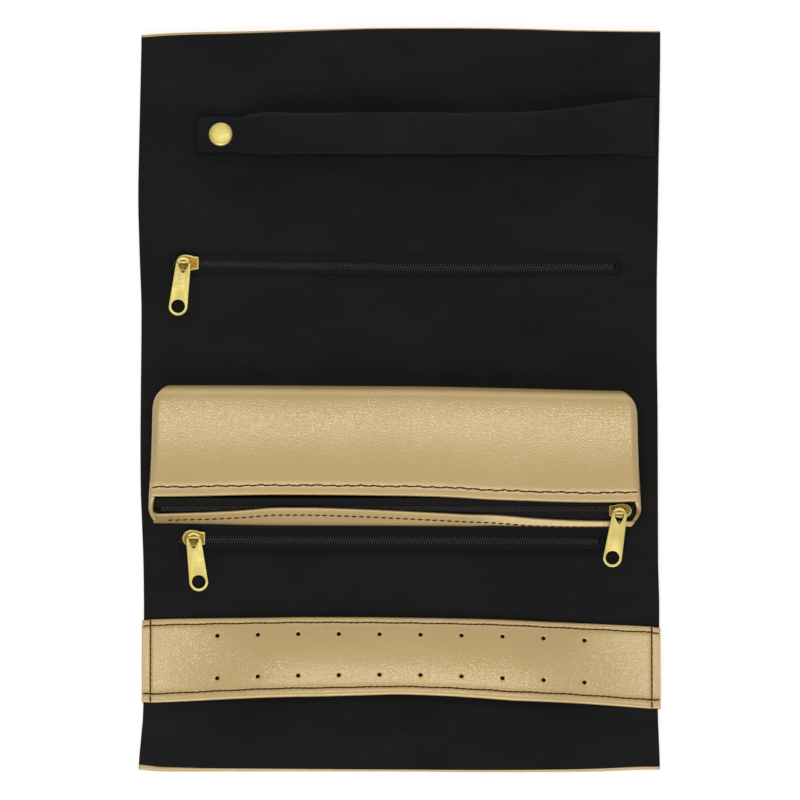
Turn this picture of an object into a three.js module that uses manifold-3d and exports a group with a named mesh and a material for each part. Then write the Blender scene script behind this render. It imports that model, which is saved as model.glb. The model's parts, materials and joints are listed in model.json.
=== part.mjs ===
// Jewelry roll, laid open with its inside up.
// Millimetres, +Z up, +X to the right, +Y towards the top flap, origin under the middle of the roll.
import * as THREE from 'three';
import { mergeVertices } from 'three/addons/utils/BufferGeometryUtils.js';
import Module from 'manifold-3d';

const wasm = await Module();
wasm.setup();

// Roll: the panels between the folds, from the earring end to the top flap
const rollWidth = 253;
const earringPanelLength = 87.5;
const pouchPanelLength = 113.5;
const zipPanelLength = 60;
const ringPanelLength = 80;
const topFlapLength = 29;
const foldGap = 0.3;

// Sheet layers, from the table up
const coverThickness = 1.2;
const paddingThickness = 1.2;
const pocketThickness = 1.6;
const pocketFloor = 0.3;
const liningThickness = 0.5;
const coverLipAtEnds = 2;
const coverLipAtSides = 0.8;
const paddingInset = 1.5;
const pocketInset = 6;

// Clearances
const softGap = 0.3;
const runningGap = 0.2;

// Zippers
const zipWindowWidth = 11;
const tapeWidth = 8;
const tapeThickness = 0.5;
const tapeTuck = 6;
const coilGap = 0.9;
const coilWidth = 1.4;
const coilHeight = 1;
const endStopLength = 2;
const endStopHeight = 1.5;
const sliderLength = 11;
const sliderWidth = 8.4;
const sliderPlate = 0.9;
const sliderWing = 0.8;
const sliderBottomLength = 9;
const sliderBottomWidth = 6;
const sliderBottomPlate = 0.4;
const sliderNeckLength = 2;
const sliderNeckInset = 2.1;
const sliderInset = 2;
const crownBarRadius = 0.6;
const crownSpan = 5.2;
const crownLeg = 1;
const pullLength = 26.5;
const pullTopWidth = 6.9;
const pullTipWidth = 9.3;
const pullThickness = 1.2;
const pullHoleRadius = 3.3;
const pullBarrelRadius = 1.5;
const pullBarrelLength = 4.6;

// Upper and lower zipped pockets
const upperZipFromFold = 8.6;
const upperZipMarginLeft = 14.7;
const upperZipMarginRight = 18.7;
const upperCrownShift = -2;
const upperPullLean = -2.5;
const lowerZipFromFold = 27.1;
const lowerZipMarginLeft = 18.2;
const lowerZipMarginRight = 26.5;
const lowerCrownShift = 0;
const lowerPullLean = 2.5;

// Leather pouch: a base on the lining, a front flap over it and a zipper on the sloping face
const pouchMarginLeft = 4;
const pouchMarginRight = 7.9;
const pouchFromFold = 33.1;
const pouchDepth = 68.9;
const pouchHeight = 17.8;
const pouchCrown = 1;
const pouchLeather = 1.2;
const pouchLiningThickness = 0.5;
const pouchBackWall = 4;
const pouchShoulder = 13.5;
const pouchFaceRun = 16.7;
const pouchHem = 10;
const pouchMouth = 9;
const pouchEndThickness = 1.2;
const pouchEndInset = 0.8;
const pouchZipInset = 3.4;
const pouchTapeWidth = 6;
const pouchCrownShift = -0.5;
const pouchPullLean = -3.4;

// Ring bar, with its snap at the left and its sewn anchor at the right
const barFromFold = 24.5;
const barMarginLeft = 26.5;
const barTabLength = 24;
const barTabWidth = 18;
const barTabThickness = 1.5;
const barTabCorner = 4;
const barWidth = 20;
const barHeight = 12.5;
const barTabEndHeight = 8;
const barSwell = 16;
const barFlare = 45;
const barFabric = 0.8;
const anchorLength = 13;
const anchorWidth = 27;
const anchorHeight = 6;
const anchorEdgeHeight = 1.6;
const anchorRise = 4;
const anchorInset = 1;
const snapInset = 12;
const snapCapRadius = 6;
const snapCapHeight = 2.4;
const snapCapRim = 0.8;
const snapStemRadius = 1.2;
const snapSocketRadius = 5;
const snapSocketHeight = 1.6;
const snapStudBase = 0.8;
const snapStudRadius = 2.2;
const snapRivetRadius = 4.5;
const snapRivetThickness = 0.8;

// Earring strip, arched over the lining and hemmed at both ends
const stripFromFold = 35.5;
const stripWidth = 42;
const stripOverhang = 1;
const stripThickness = 1.2;
const stripBackingThickness = 0.5;
const stripHem = 6;
const stripArch = 6;
const stripBow = 2.5;
const stripSkew = 3;
const earringPitch = 20;
const earringRowSpacing = 20.5;
const earringEndMargin = 36;
const earringHoleRadius = 1;

// Hidden closure magnets between the cover and the lining
const magnetRadius = 7;
const magnetThickness = 1.5;
const flapMagnetFromEdge = 12;
const panelMagnetFromFold = 12;

// Facets of round and curved work
const roundSides = 16;
const holeSides = 8;
const barSides = 14;
const barSections = 18;
const stripSections = 24;
const shoulderSteps = 6;
const crownSteps = 4;

// Levels and fold lines that follow from the sizes above
const pocketBottom = coverThickness + paddingThickness;
const liningBottom = pocketBottom + pocketThickness;
const liningTop = liningBottom + liningThickness;
const rollLength = earringPanelLength + pouchPanelLength + zipPanelLength + ringPanelLength + topFlapLength;
const rollBottom = -rollLength / 2;
const foldEarring = rollBottom + earringPanelLength;
const foldZip = foldEarring + pouchPanelLength;
const foldRing = foldZip + zipPanelLength;
const foldFlap = foldRing + ringPanelLength;
const rollTop = foldFlap + topFlapLength;
const rollLeft = -rollWidth / 2;
const rollRight = rollWidth / 2;

const materials = {
  leather: { color: 0xc4a873, roughness: 0.5, metalness: 0 },
  lining: { color: 0x161516, roughness: 0.95, metalness: 0 },
  padding: { color: 0xd8d5cc, roughness: 0.9, metalness: 0 },
  tape: { color: 0x101012, roughness: 0.85, metalness: 0 },
  coil: { color: 0x1b1b1e, roughness: 0.45, metalness: 0 },
  gold: { color: 0xd9b552, roughness: 0.22, metalness: 1 },
  magnet: { color: 0x8c8f94, roughness: 0.4, metalness: 1 },
};

function piece(name, geometry, finish) {
  const mesh = new THREE.Mesh(geometry, new THREE.MeshStandardMaterial(materials[finish]));
  mesh.name = name;
  return mesh;
}

// Solids for joining and cutting
function toSolid(geometry) {
  const bare = geometry.clone();
  bare.deleteAttribute('normal');
  bare.deleteAttribute('uv');
  const merged = mergeVertices(bare);
  return new wasm.Manifold(new wasm.Mesh({
    numProp: 3,
    vertProperties: new Float32Array(merged.attributes.position.array),
    triVerts: new Uint32Array(merged.index.array),
  }));
}

function toGeometry(solid) {
  const mesh = solid.getMesh();
  const geometry = new THREE.BufferGeometry();
  geometry.setAttribute('position', new THREE.BufferAttribute(new Float32Array(mesh.vertProperties), 3));
  geometry.setIndex(new THREE.BufferAttribute(new Uint32Array(mesh.triVerts), 1));
  geometry.computeVertexNormals();
  return geometry;
}

function join(geometries) {
  return toGeometry(geometries.map(toSolid).reduce((whole, next) => whole.add(next)));
}

function cut(geometry, tools) {
  return toGeometry(tools.map(toSolid).reduce((whole, tool) => whole.subtract(tool), toSolid(geometry)));
}

// A block between two corners, with its faces exactly on the given values
function block(x0, x1, y0, y1, z0, z1) {
  const geometry = new THREE.BoxGeometry(1, 1, 1);
  const corner = geometry.attributes.position;
  for (let i = 0; i < corner.count; i += 1) {
    const x = corner.getX(i) < 0 ? x0 : x1;
    const y = corner.getY(i) < 0 ? y0 : y1;
    const z = corner.getZ(i) < 0 ? z0 : z1;
    corner.setXYZ(i, x, y, z);
  }
  return geometry;
}

// A plate of any outline, with its two faces exactly on the given levels
function plate(outline, z0, z1) {
  const options = { depth: 1, bevelEnabled: false, curveSegments: holeSides };
  const geometry = new THREE.ExtrudeGeometry(outline, options);
  const corner = geometry.attributes.position;
  for (let i = 0; i < corner.count; i += 1) {
    corner.setZ(i, corner.getZ(i) > 0.5 ? z1 : z0);
  }
  return geometry;
}

function rectangle(x0, x1, y0, y1) {
  return new THREE.Shape([
    new THREE.Vector2(x0, y0),
    new THREE.Vector2(x1, y0),
    new THREE.Vector2(x1, y1),
    new THREE.Vector2(x0, y1),
  ]);
}

function roundHole(x, y, radius) {
  return new THREE.Path().absarc(x, y, radius, 0, 2 * Math.PI, true);
}

// A round piece about a vertical axis, from its half section of [radius, level] points
function turned(x, y, section, sides = roundSides) {
  const profile = section.map(([radius, level]) => new THREE.Vector2(radius, level));
  const geometry = new THREE.LatheGeometry(profile, sides);
  geometry.rotateX(Math.PI / 2);
  geometry.translate(x, y, 0);
  return geometry;
}

// A rod about the X axis, centred on the origin
function rodAlongX(radius, length, sides) {
  const rod = new THREE.CylinderGeometry(radius, radius, length, sides);
  return rod.rotateZ(Math.PI / 2);
}

// A section drawn in Y and Z, drawn out along X
function drawnAlongX(points, x0, x1) {
  const outline = new THREE.Shape(points);
  const geometry = plate(outline, x0, x1);
  const turn = new THREE.Matrix4().makeBasis(
    new THREE.Vector3(0, 1, 0),
    new THREE.Vector3(0, 0, 1),
    new THREE.Vector3(1, 0, 0),
  );
  return geometry.applyMatrix4(turn);
}

// The outline of a bent sheet: the outer line, then the same line moved in by the thickness
function bentSheet(outer, thickness) {
  const inner = outer.map((point, i) => {
    const before = outer[Math.max(i - 1, 0)];
    const after = outer[Math.min(i + 1, outer.length - 1)];
    const toPoint = point.clone().sub(before);
    const fromPoint = after.clone().sub(point);
    const incoming = (i === 0 ? fromPoint : toPoint).clone().normalize();
    const outgoing = (i === outer.length - 1 ? toPoint : fromPoint).clone().normalize();
    const normal = new THREE.Vector2(-incoming.y - outgoing.y, incoming.x + outgoing.x).normalize();
    const mitre = normal.x * -incoming.y + normal.y * incoming.x;
    return point.clone().addScaledVector(normal, thickness / mitre);
  });
  return [...outer, ...inner.reverse()];
}

// A closed skin over rings of points that run along X
function lofted(rings) {
  const sides = rings[0].length;
  const last = rings.length - 1;
  const index = [];
  for (let ring = 0; ring < last; ring += 1) {
    for (let side = 0; side < sides; side += 1) {
      const a = ring * sides + side;
      const b = ring * sides + ((side + 1) % sides);
      index.push(a, b, b + sides, a, b + sides, a + sides);
    }
  }
  for (let side = 1; side < sides - 1; side += 1) {
    index.push(0, side + 1, side);
    index.push(last * sides, last * sides + side, last * sides + side + 1);
  }
  const geometry = new THREE.BufferGeometry();
  const positions = rings.flat().flatMap((point) => [point.x, point.y, point.z]);
  geometry.setAttribute('position', new THREE.BufferAttribute(new Float32Array(positions), 3));
  geometry.setIndex(index);
  geometry.computeVertexNormals();
  return geometry;
}

const roll = new THREE.Group();

// Panels: cover, padding and lining between two folds
const upperZipLeft = rollLeft + upperZipMarginLeft;
const upperZipRight = rollRight - upperZipMarginRight;
const upperZipY = foldRing - upperZipFromFold;
const lowerZipLeft = rollLeft + lowerZipMarginLeft;
const lowerZipRight = rollRight - lowerZipMarginRight;
const lowerZipY = foldEarring + lowerZipFromFold;
const barLeft = rollLeft + barMarginLeft;
const barY = foldFlap - barFromFold;
const snapX = barLeft + snapInset;
const flapMagnetY = rollTop - flapMagnetFromEdge;
const panelMagnetY = foldEarring - panelMagnetFromFold;

function zipWindow(left, right, y) {
  return rectangle(left, right, y - zipWindowWidth / 2, y + zipWindowWidth / 2);
}

function addPanel({ name, low, high, pocketed, liningHoles, paddingHoles }) {
  const y0 = low + (low === rollBottom ? 0 : foldGap / 2);
  const y1 = high - (high === rollTop ? 0 : foldGap / 2);
  const lip0 = low === rollBottom ? coverLipAtEnds : 0;
  const lip1 = high === rollTop ? coverLipAtEnds : 0;
  roll.add(piece(`cover_${name}`, block(rollLeft, rollRight, y0, y1, 0, coverThickness), 'leather'));

  const fillInset = coverLipAtSides + paddingInset;
  const fill = rectangle(rollLeft + fillInset, rollRight - fillInset, y0 + lip0, y1 - lip1);
  fill.holes.push(...paddingHoles);
  const fillTop = pocketed ? pocketBottom : liningBottom;
  roll.add(piece(`padding_${name}`, plate(fill, coverThickness, fillTop), 'padding'));

  const inside = rectangle(rollLeft + coverLipAtSides, rollRight - coverLipAtSides, y0 + lip0, y1 - lip1);
  inside.holes.push(...liningHoles);
  roll.add(piece(`lining_${name}`, plate(inside, liningBottom, liningTop), 'lining'));
}

addPanel({
  name: 'earring_panel',
  low: rollBottom,
  high: foldEarring,
  pocketed: false,
  liningHoles: [],
  paddingHoles: [roundHole(0, panelMagnetY, magnetRadius + softGap)],
});
addPanel({
  name: 'pouch_panel',
  low: foldEarring,
  high: foldZip,
  pocketed: true,
  liningHoles: [zipWindow(lowerZipLeft, lowerZipRight, lowerZipY)],
  paddingHoles: [],
});
addPanel({
  name: 'zip_panel',
  low: foldZip,
  high: foldRing,
  pocketed: true,
  liningHoles: [zipWindow(upperZipLeft, upperZipRight, upperZipY)],
  paddingHoles: [],
});
addPanel({
  name: 'ring_panel',
  low: foldRing,
  high: foldFlap,
  pocketed: false,
  liningHoles: [roundHole(snapX, barY, snapStemRadius + softGap)],
  paddingHoles: [roundHole(snapX, barY, snapRivetRadius + softGap)],
});
addPanel({
  name: 'top_flap',
  low: foldFlap,
  high: rollTop,
  pocketed: false,
  liningHoles: [],
  paddingHoles: [roundHole(0, flapMagnetY, magnetRadius + softGap)],
});

// Pocket bags under the two zip windows, each with a recess for its tapes
function pocketBag(name, low, high, left, right, y) {
  const bag = block(
    rollLeft + pocketInset,
    rollRight - pocketInset,
    low + foldGap / 2,
    high - foldGap / 2,
    pocketBottom,
    liningBottom,
  );
  const reach = tapeTuck + softGap;
  const recess = block(
    left - reach,
    right + reach,
    y - tapeWidth - softGap,
    y + tapeWidth + softGap,
    pocketBottom + pocketFloor,
    liningTop,
  );
  return piece(name, cut(bag, [recess]), 'lining');
}

roll.add(pocketBag('lower_pocket_bag', foldEarring, foldZip, lowerZipLeft, lowerZipRight, lowerZipY));
roll.add(pocketBag('upper_pocket_bag', foldZip, foldRing, upperZipLeft, upperZipRight, upperZipY));

// Closure magnets, each lying on the cover
function magnet(name, y) {
  const top = coverThickness + magnetThickness;
  const disc = turned(0, y, [
    [0, coverThickness],
    [magnetRadius, coverThickness],
    [magnetRadius, top],
    [0, top],
  ]);
  return piece(name, disc, 'magnet');
}

roll.add(magnet('closure_magnet_panel', panelMagnetY));
roll.add(magnet('closure_magnet_flap', flapMagnetY));

// Zipper parts, in a frame with its origin on top of the tapes, Y across the chain and Z outwards
const crownHeight = coilHeight + runningGap + sliderPlate + runningGap + pullBarrelRadius;

function sliderGeometry(x, nose, crownX) {
  const half = sliderWidth / 2;
  const plateBottom = coilHeight + runningGap;
  const plateTop = plateBottom + sliderPlate;
  const wingTip = -tapeThickness - runningGap;
  const noseX = x + nose * (sliderLength / 2);
  const tailX = x - nose * (sliderLength / 2);
  const noseCentre = noseX - nose * half;
  const outline = new THREE.Shape();
  outline.moveTo(tailX, -nose * half);
  outline.lineTo(noseCentre, -nose * half);
  const noseStart = (-nose * Math.PI) / 2;
  outline.absarc(noseCentre, 0, half, noseStart, noseStart + Math.PI, false);
  outline.lineTo(tailX, nose * half);
  const neckNose = noseX - nose * sliderNeckInset;
  const neckTail = neckNose - nose * sliderNeckLength;
  const neckHalf = coilGap / 2 - runningGap;
  const spanHalf = crownSpan / 2;
  const bottomHalf = sliderBottomLength / 2;
  const flangeLow = Math.min(noseCentre, tailX);
  const flangeHigh = Math.max(noseCentre, tailX);
  const solids = [
    plate(outline, plateBottom, plateTop),
    block(x - bottomHalf, x + bottomHalf, -sliderBottomWidth / 2, sliderBottomWidth / 2,
      wingTip - sliderBottomPlate, wingTip),
    block(Math.min(neckNose, neckTail), Math.max(neckNose, neckTail), -neckHalf, neckHalf,
      wingTip - sliderBottomPlate / 2, plateBottom + sliderPlate / 2),
    block(flangeLow, flangeHigh, -half, -half + sliderWing, runningGap, plateTop),
    block(flangeLow, flangeHigh, half - sliderWing, half, runningGap, plateTop),
  ];
  [-1, 1].forEach((side) => {
    const inner = crownX + side * spanHalf;
    const outer = inner + side * crownLeg;
    solids.push(block(Math.min(inner, outer), Math.max(inner, outer), -crownBarRadius, crownBarRadius,
      plateBottom + sliderPlate / 2, crownHeight + crownBarRadius));
  });
  const bar = rodAlongX(crownBarRadius, crownSpan + crownLeg, holeSides);
  bar.translate(crownX, 0, crownHeight);
  solids.push(bar);
  return join(solids);
}

// A pull with its barrel on the crown bar at the origin and its blade along -Y
function pullGeometry(lean) {
  const topHalf = pullTopWidth / 2;
  const tipRadius = pullTipWidth / 2;
  const start = -crownBarRadius - 2 * softGap;
  const tipY = -(pullLength - tipRadius);
  const blade = new THREE.Shape();
  blade.moveTo(topHalf, start);
  blade.lineTo(-topHalf, start);
  blade.lineTo(lean - tipRadius, tipY);
  blade.absarc(lean, tipY, tipRadius, Math.PI, 2 * Math.PI, false);
  blade.holes.push(roundHole(lean, tipY, pullHoleRadius));
  const barrel = rodAlongX(pullBarrelRadius, pullBarrelLength, roundSides);
  const bore = rodAlongX(crownBarRadius + runningGap, pullBarrelLength * 2, roundSides);
  return cut(join([plate(blade, -pullThickness / 2, pullThickness / 2), barrel]), [bore]);
}

// The zipper's chain runs from left to right, with its slider at the nose end: -1 left, 1 right
function addZipper(zip) {
  const { name, left, right, tuck, tape, nose, crownShift, lean, y, z, faceTilt, stopFar } = zip;
  const frame = new THREE.Group();
  frame.position.set(0, y, z);
  frame.rotation.x = faceTilt;
  const inner = coilGap / 2;
  const openEnd = nose < 0 ? right : left;
  const stopInner = openEnd + nose * endStopLength;
  const chainEnd = stopInner + nose * runningGap;
  const chainLow = nose < 0 ? left + runningGap : chainEnd;
  const chainHigh = nose < 0 ? chainEnd : right - runningGap;
  const tapeLow = left - tuck;
  const tapeHigh = right + tuck;
  const coilEdge = inner + coilWidth;
  const farTape = block(tapeLow, tapeHigh, inner, tape, -tapeThickness, 0);
  const nearTape = block(tapeLow, tapeHigh, -tape, -inner, -tapeThickness, 0);
  const farCoil = block(chainLow, chainHigh, inner, coilEdge, 0, coilHeight);
  const nearCoil = block(chainLow, chainHigh, -coilEdge, -inner, 0, coilHeight);
  frame.add(piece(`${name}_tape_far`, farTape, 'tape'));
  frame.add(piece(`${name}_tape_near`, nearTape, 'tape'));
  frame.add(piece(`${name}_coil_far`, farCoil, 'coil'));
  frame.add(piece(`${name}_coil_near`, nearCoil, 'coil'));

  const stopLow = Math.min(openEnd, stopInner);
  const stopHigh = Math.max(openEnd, stopInner);
  const stopTop = stopFar ? coilEdge : -inner;
  const stop = block(stopLow, stopHigh, -coilEdge, stopTop, 0, endStopHeight);
  frame.add(piece(`${name}_end_stop`, stop, 'gold'));

  const noseEnd = nose < 0 ? left : right;
  const sliderX = noseEnd - nose * (sliderInset + sliderLength / 2);
  const crownX = sliderX + crownShift;
  frame.add(piece(`${name}_slider`, sliderGeometry(sliderX, nose, crownX), 'gold'));

  const pull = piece(`${name}_pull`, pullGeometry(lean), 'gold');
  const crownZ = z + crownHeight * Math.cos(faceTilt);
  const drop = crownZ - liningTop - softGap - pullThickness;
  pull.position.set(crownX, 0, crownHeight);
  pull.rotation.x = Math.asin(drop / pullLength) - faceTilt;
  frame.add(pull);
  roll.add(frame);
}

addZipper({
  name: 'upper_zip',
  left: upperZipLeft,
  right: upperZipRight,
  tuck: tapeTuck,
  tape: tapeWidth,
  nose: -1,
  crownShift: upperCrownShift,
  lean: upperPullLean,
  y: upperZipY,
  z: liningBottom,
  faceTilt: 0,
  stopFar: true,
});
addZipper({
  name: 'lower_zip',
  left: lowerZipLeft,
  right: lowerZipRight,
  tuck: tapeTuck,
  tape: tapeWidth,
  nose: -1,
  crownShift: lowerCrownShift,
  lean: lowerPullLean,
  y: lowerZipY,
  z: liningBottom,
  faceTilt: 0,
  stopFar: true,
});

// Pouch: outer lines of its base and of its front flap, both in Y and Z
const pouchLeft = rollLeft + pouchMarginLeft;
const pouchRight = rollRight - pouchMarginRight;
const pouchFront = foldEarring + pouchFromFold;
const pouchBack = pouchFront + pouchDepth;
const pouchTop = liningTop + pouchHeight;
const bend = new THREE.Vector2(pouchFront + pouchFaceRun, pouchTop);
const toe = new THREE.Vector2(pouchFront, liningTop);
const down = toe.clone().sub(bend).normalize();
const outward = new THREE.Vector2(down.y, -down.x);
const faceTilt = Math.atan2(-down.y, -down.x);
const hemEdge = bend.clone().addScaledVector(down, pouchHem);
const lipEdge = hemEdge.clone().addScaledVector(down, pouchMouth);
const wallTop = liningTop + pouchBackWall;
const shoulderRise = pouchTop - wallTop - softGap;

const baseLine = [
  lipEdge,
  toe,
  new THREE.Vector2(pouchBack, liningTop),
  new THREE.Vector2(pouchBack, wallTop),
];
const baseSection = bentSheet(baseLine, pouchLeather);
roll.add(piece('pouch_back', drawnAlongX(baseSection, pouchLeft, pouchRight), 'leather'));

const frontLine = [];
for (let i = 0; i <= shoulderSteps; i += 1) {
  const angle = (i / shoulderSteps) * (Math.PI / 2);
  const y = pouchBack - pouchShoulder + pouchShoulder * Math.cos(angle);
  frontLine.push(new THREE.Vector2(y, wallTop + softGap + shoulderRise * Math.sin(angle)));
}
for (let i = 1; i <= crownSteps; i += 1) {
  const along = i / crownSteps;
  const y = pouchBack - pouchShoulder + (bend.x - pouchBack + pouchShoulder) * along;
  frontLine.push(new THREE.Vector2(y, pouchTop + pouchCrown * Math.sin(Math.PI * along)));
}
frontLine.push(hemEdge);
const frontSection = bentSheet(frontLine, pouchLeather);
roll.add(piece('pouch_front', drawnAlongX(frontSection, pouchLeft, pouchRight), 'leather'));

// The tapes lie just under the leather of the hem and the lip
const tapeTop = hemEdge.clone().addScaledVector(down, pouchMouth / 2);
tapeTop.addScaledVector(outward, -pouchLeather - softGap);
addZipper({
  name: 'pouch_zip',
  left: pouchLeft + pouchZipInset,
  right: pouchRight - pouchZipInset,
  tuck: pouchZipInset - softGap,
  tape: pouchTapeWidth,
  nose: 1,
  crownShift: pouchCrownShift,
  lean: pouchPullLean,
  y: tapeTop.x,
  z: tapeTop.y,
  faceTilt,
  stopFar: false,
});

// End gussets inside the leather, and the pouch's own lining on its base
const floorTop = liningTop + pouchLeather;
const endGap = pouchLeather + softGap;
const slope = endGap + tapeThickness + runningGap + sliderBottomPlate + softGap;
const endTopFront = bend.clone().addScaledVector(outward, -slope);
const endToe = toe.clone().addScaledVector(outward, -slope);
const toeShift = (floorTop + softGap - endToe.y) / down.y;
endToe.addScaledVector(down, toeShift);
const endTop = pouchTop - endGap;
endTopFront.addScaledVector(down, (endTop - endTopFront.y) / down.y);
const endSection = [
  endToe,
  new THREE.Vector2(pouchBack - endGap, floorTop + softGap),
  new THREE.Vector2(pouchBack - endGap, wallTop + softGap),
  new THREE.Vector2(pouchBack - pouchShoulder, endTop),
  endTopFront,
];
const endLeft = pouchLeft + pouchEndInset;
const endRight = pouchRight - pouchEndInset;
const leftEnd = drawnAlongX(endSection, endLeft, endLeft + pouchEndThickness);
const rightEnd = drawnAlongX(endSection, endRight - pouchEndThickness, endRight);
roll.add(piece('pouch_end_left', leftEnd, 'leather'));
roll.add(piece('pouch_end_right', rightEnd, 'leather'));

const pouchLiningReach = pouchEndInset + pouchEndThickness + softGap;
const pouchLining = block(
  pouchLeft + pouchLiningReach,
  pouchRight - pouchLiningReach,
  endToe.x,
  pouchBack - endGap,
  floorTop,
  floorTop + pouchLiningThickness,
);
roll.add(piece('pouch_lining', pouchLining, 'lining'));

// Ring bar: an oval padded bar that flattens towards the anchor
const barSeat = liningTop + softGap;
const barStart = barLeft + barTabLength;
const anchorEnd = rollRight - anchorInset;
const barEnd = anchorEnd - anchorLength;

function barRing(x, inset) {
  const swell = THREE.MathUtils.smoothstep(x, barStart - barSwell / 2, barStart + barSwell);
  const flare = THREE.MathUtils.smoothstep(x, barEnd - barFlare, barEnd);
  const flat = THREE.MathUtils.smoothstep(x, barEnd, anchorEnd);
  const swelled = THREE.MathUtils.lerp(barTabEndHeight, barHeight, swell);
  const flared = THREE.MathUtils.lerp(swelled, anchorHeight, flare);
  const height = THREE.MathUtils.lerp(flared, anchorEdgeHeight, flat);
  const width = THREE.MathUtils.lerp(barWidth, anchorWidth, flare);
  const y = barY + anchorRise * flare;
  const ring = [];
  for (let side = 0; side < barSides; side += 1) {
    const angle = (2 * Math.PI * side) / barSides;
    const across = (width / 2 - inset) * Math.cos(angle);
    const up = (height / 2 - inset) * Math.sin(angle);
    ring.push(new THREE.Vector3(x, y + across, barSeat + height / 2 + up));
  }
  return ring;
}

function barLoft(x0, x1, inset, sections) {
  const rings = [];
  for (let i = 0; i <= sections; i += 1) {
    rings.push(barRing(x0 + ((x1 - x0) * i) / sections, inset));
  }
  return lofted(rings);
}

const barOuter = barLoft(barStart, barEnd, 0, barSections);
const barHollow = barLoft(barStart - softGap, barEnd + softGap, barFabric, barSections);
roll.add(piece('ring_bar_cover', cut(barOuter, [barHollow]), 'lining'));
const barCore = barLoft(barStart + softGap, barEnd - softGap, barFabric + softGap, barSections);
roll.add(piece('ring_bar_core', barCore, 'padding'));
roll.add(piece('ring_bar_anchor', barLoft(barEnd + softGap, anchorEnd, 0, shoulderSteps), 'lining'));

// Snap: a rivet under the lining, a stud on it, and the socket and cap on the bar's tab
const studTop = liningTop + snapStudBase;
const socketBottom = studTop + softGap;
const tabBottom = socketBottom + snapSocketHeight;
const tabTop = tabBottom + barTabThickness;
const socketBore = snapStudRadius + softGap;

const tabOutline = new THREE.Shape();
const tabEnd = barStart - softGap;
const tabHalf = barTabWidth / 2;
tabOutline.moveTo(tabEnd, barY - tabHalf);
tabOutline.lineTo(tabEnd, barY + tabHalf);
tabOutline.lineTo(barLeft + barTabCorner, barY + tabHalf);
tabOutline.absarc(barLeft + barTabCorner, barY + tabHalf - barTabCorner, barTabCorner,
  Math.PI / 2, Math.PI, false);
tabOutline.absarc(barLeft + barTabCorner, barY - tabHalf + barTabCorner, barTabCorner,
  Math.PI, 1.5 * Math.PI, false);
tabOutline.holes.push(roundHole(snapX, barY, snapStemRadius + softGap));
roll.add(piece('ring_bar_tab', plate(tabOutline, tabBottom, tabTop), 'lining'));

const capRim = tabTop + snapCapRim;
const capDome = [];
for (let i = 1; i <= crownSteps; i += 1) {
  const angle = (i / crownSteps) * (Math.PI / 2);
  const radius = i === crownSteps ? 0 : snapCapRadius * Math.cos(angle);
  capDome.push([radius, capRim + (snapCapHeight - snapCapRim) * Math.sin(angle)]);
}
const cap = turned(snapX, barY, [
  [0, tabBottom],
  [snapStemRadius, tabBottom],
  [snapStemRadius, tabTop],
  [snapCapRadius, tabTop],
  [snapCapRadius, capRim],
  ...capDome,
]);
roll.add(piece('snap_cap', cap, 'gold'));

const socket = turned(snapX, barY, [
  [socketBore, socketBottom],
  [snapSocketRadius, socketBottom],
  [snapSocketRadius, tabBottom],
  [socketBore, tabBottom],
  [socketBore, socketBottom],
]);
roll.add(piece('snap_socket', socket, 'gold'));

const stud = turned(snapX, barY, [
  [0, liningBottom],
  [snapStemRadius, liningBottom],
  [snapStemRadius, liningTop],
  [snapSocketRadius, liningTop],
  [snapSocketRadius, studTop],
  [snapStudRadius, studTop],
  [snapStudRadius, tabBottom - softGap],
  [0, tabBottom - softGap],
]);
roll.add(piece('snap_stud', stud, 'gold'));

const rivetBottom = liningBottom - snapRivetThickness;
const rivet = turned(snapX, barY, [
  [0, rivetBottom],
  [snapRivetRadius, rivetBottom],
  [snapRivetRadius, liningBottom],
  [0, liningBottom],
]);
roll.add(piece('snap_rivet', rivet, 'gold'));

// Earring strip: leather over a backing, both arched and bowed, with two rows of post holes
const stripHalf = rollWidth / 2 + stripOverhang;
const archHalf = stripHalf - stripHem;
const stripY = foldEarring - stripFromFold;
const holesInRow = Math.floor((2 * stripHalf - 2 * earringEndMargin) / earringPitch) + 1;

function archAt(x) {
  return Math.abs(x) < archHalf ? stripArch * Math.cos((Math.PI * x) / (2 * archHalf)) ** 2 : 0;
}

function bowAt(x) {
  return stripBow * (1 - (x / stripHalf) ** 2) - (stripSkew * x) / (2 * stripHalf);
}

function archedSheet(x0, x1, width, z0, z1, sections) {
  const sheet = new THREE.BoxGeometry(1, 1, 1, sections, 1, 1);
  const corner = sheet.attributes.position;
  for (let i = 0; i < corner.count; i += 1) {
    const x = x0 + (corner.getX(i) + 0.5) * (x1 - x0);
    const y = stripY + corner.getY(i) * width + bowAt(x);
    const z = (corner.getZ(i) < 0 ? z0 : z1) + archAt(x);
    corner.setXYZ(i, x, y, z);
  }
  return sheet;
}

const drillTop = liningTop + stripArch + stripBackingThickness + stripThickness + softGap;
const postHoles = [];
for (let row = -1; row <= 1; row += 2) {
  for (let i = 0; i < holesInRow; i += 1) {
    const x = (i - (holesInRow - 1) / 2) * earringPitch;
    const y = stripY + (row * earringRowSpacing) / 2 + bowAt(x);
    postHoles.push(turned(x, y, [
      [0, liningTop],
      [earringHoleRadius, liningTop],
      [earringHoleRadius, drillTop],
      [0, drillTop],
    ], holeSides));
  }
}

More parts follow.
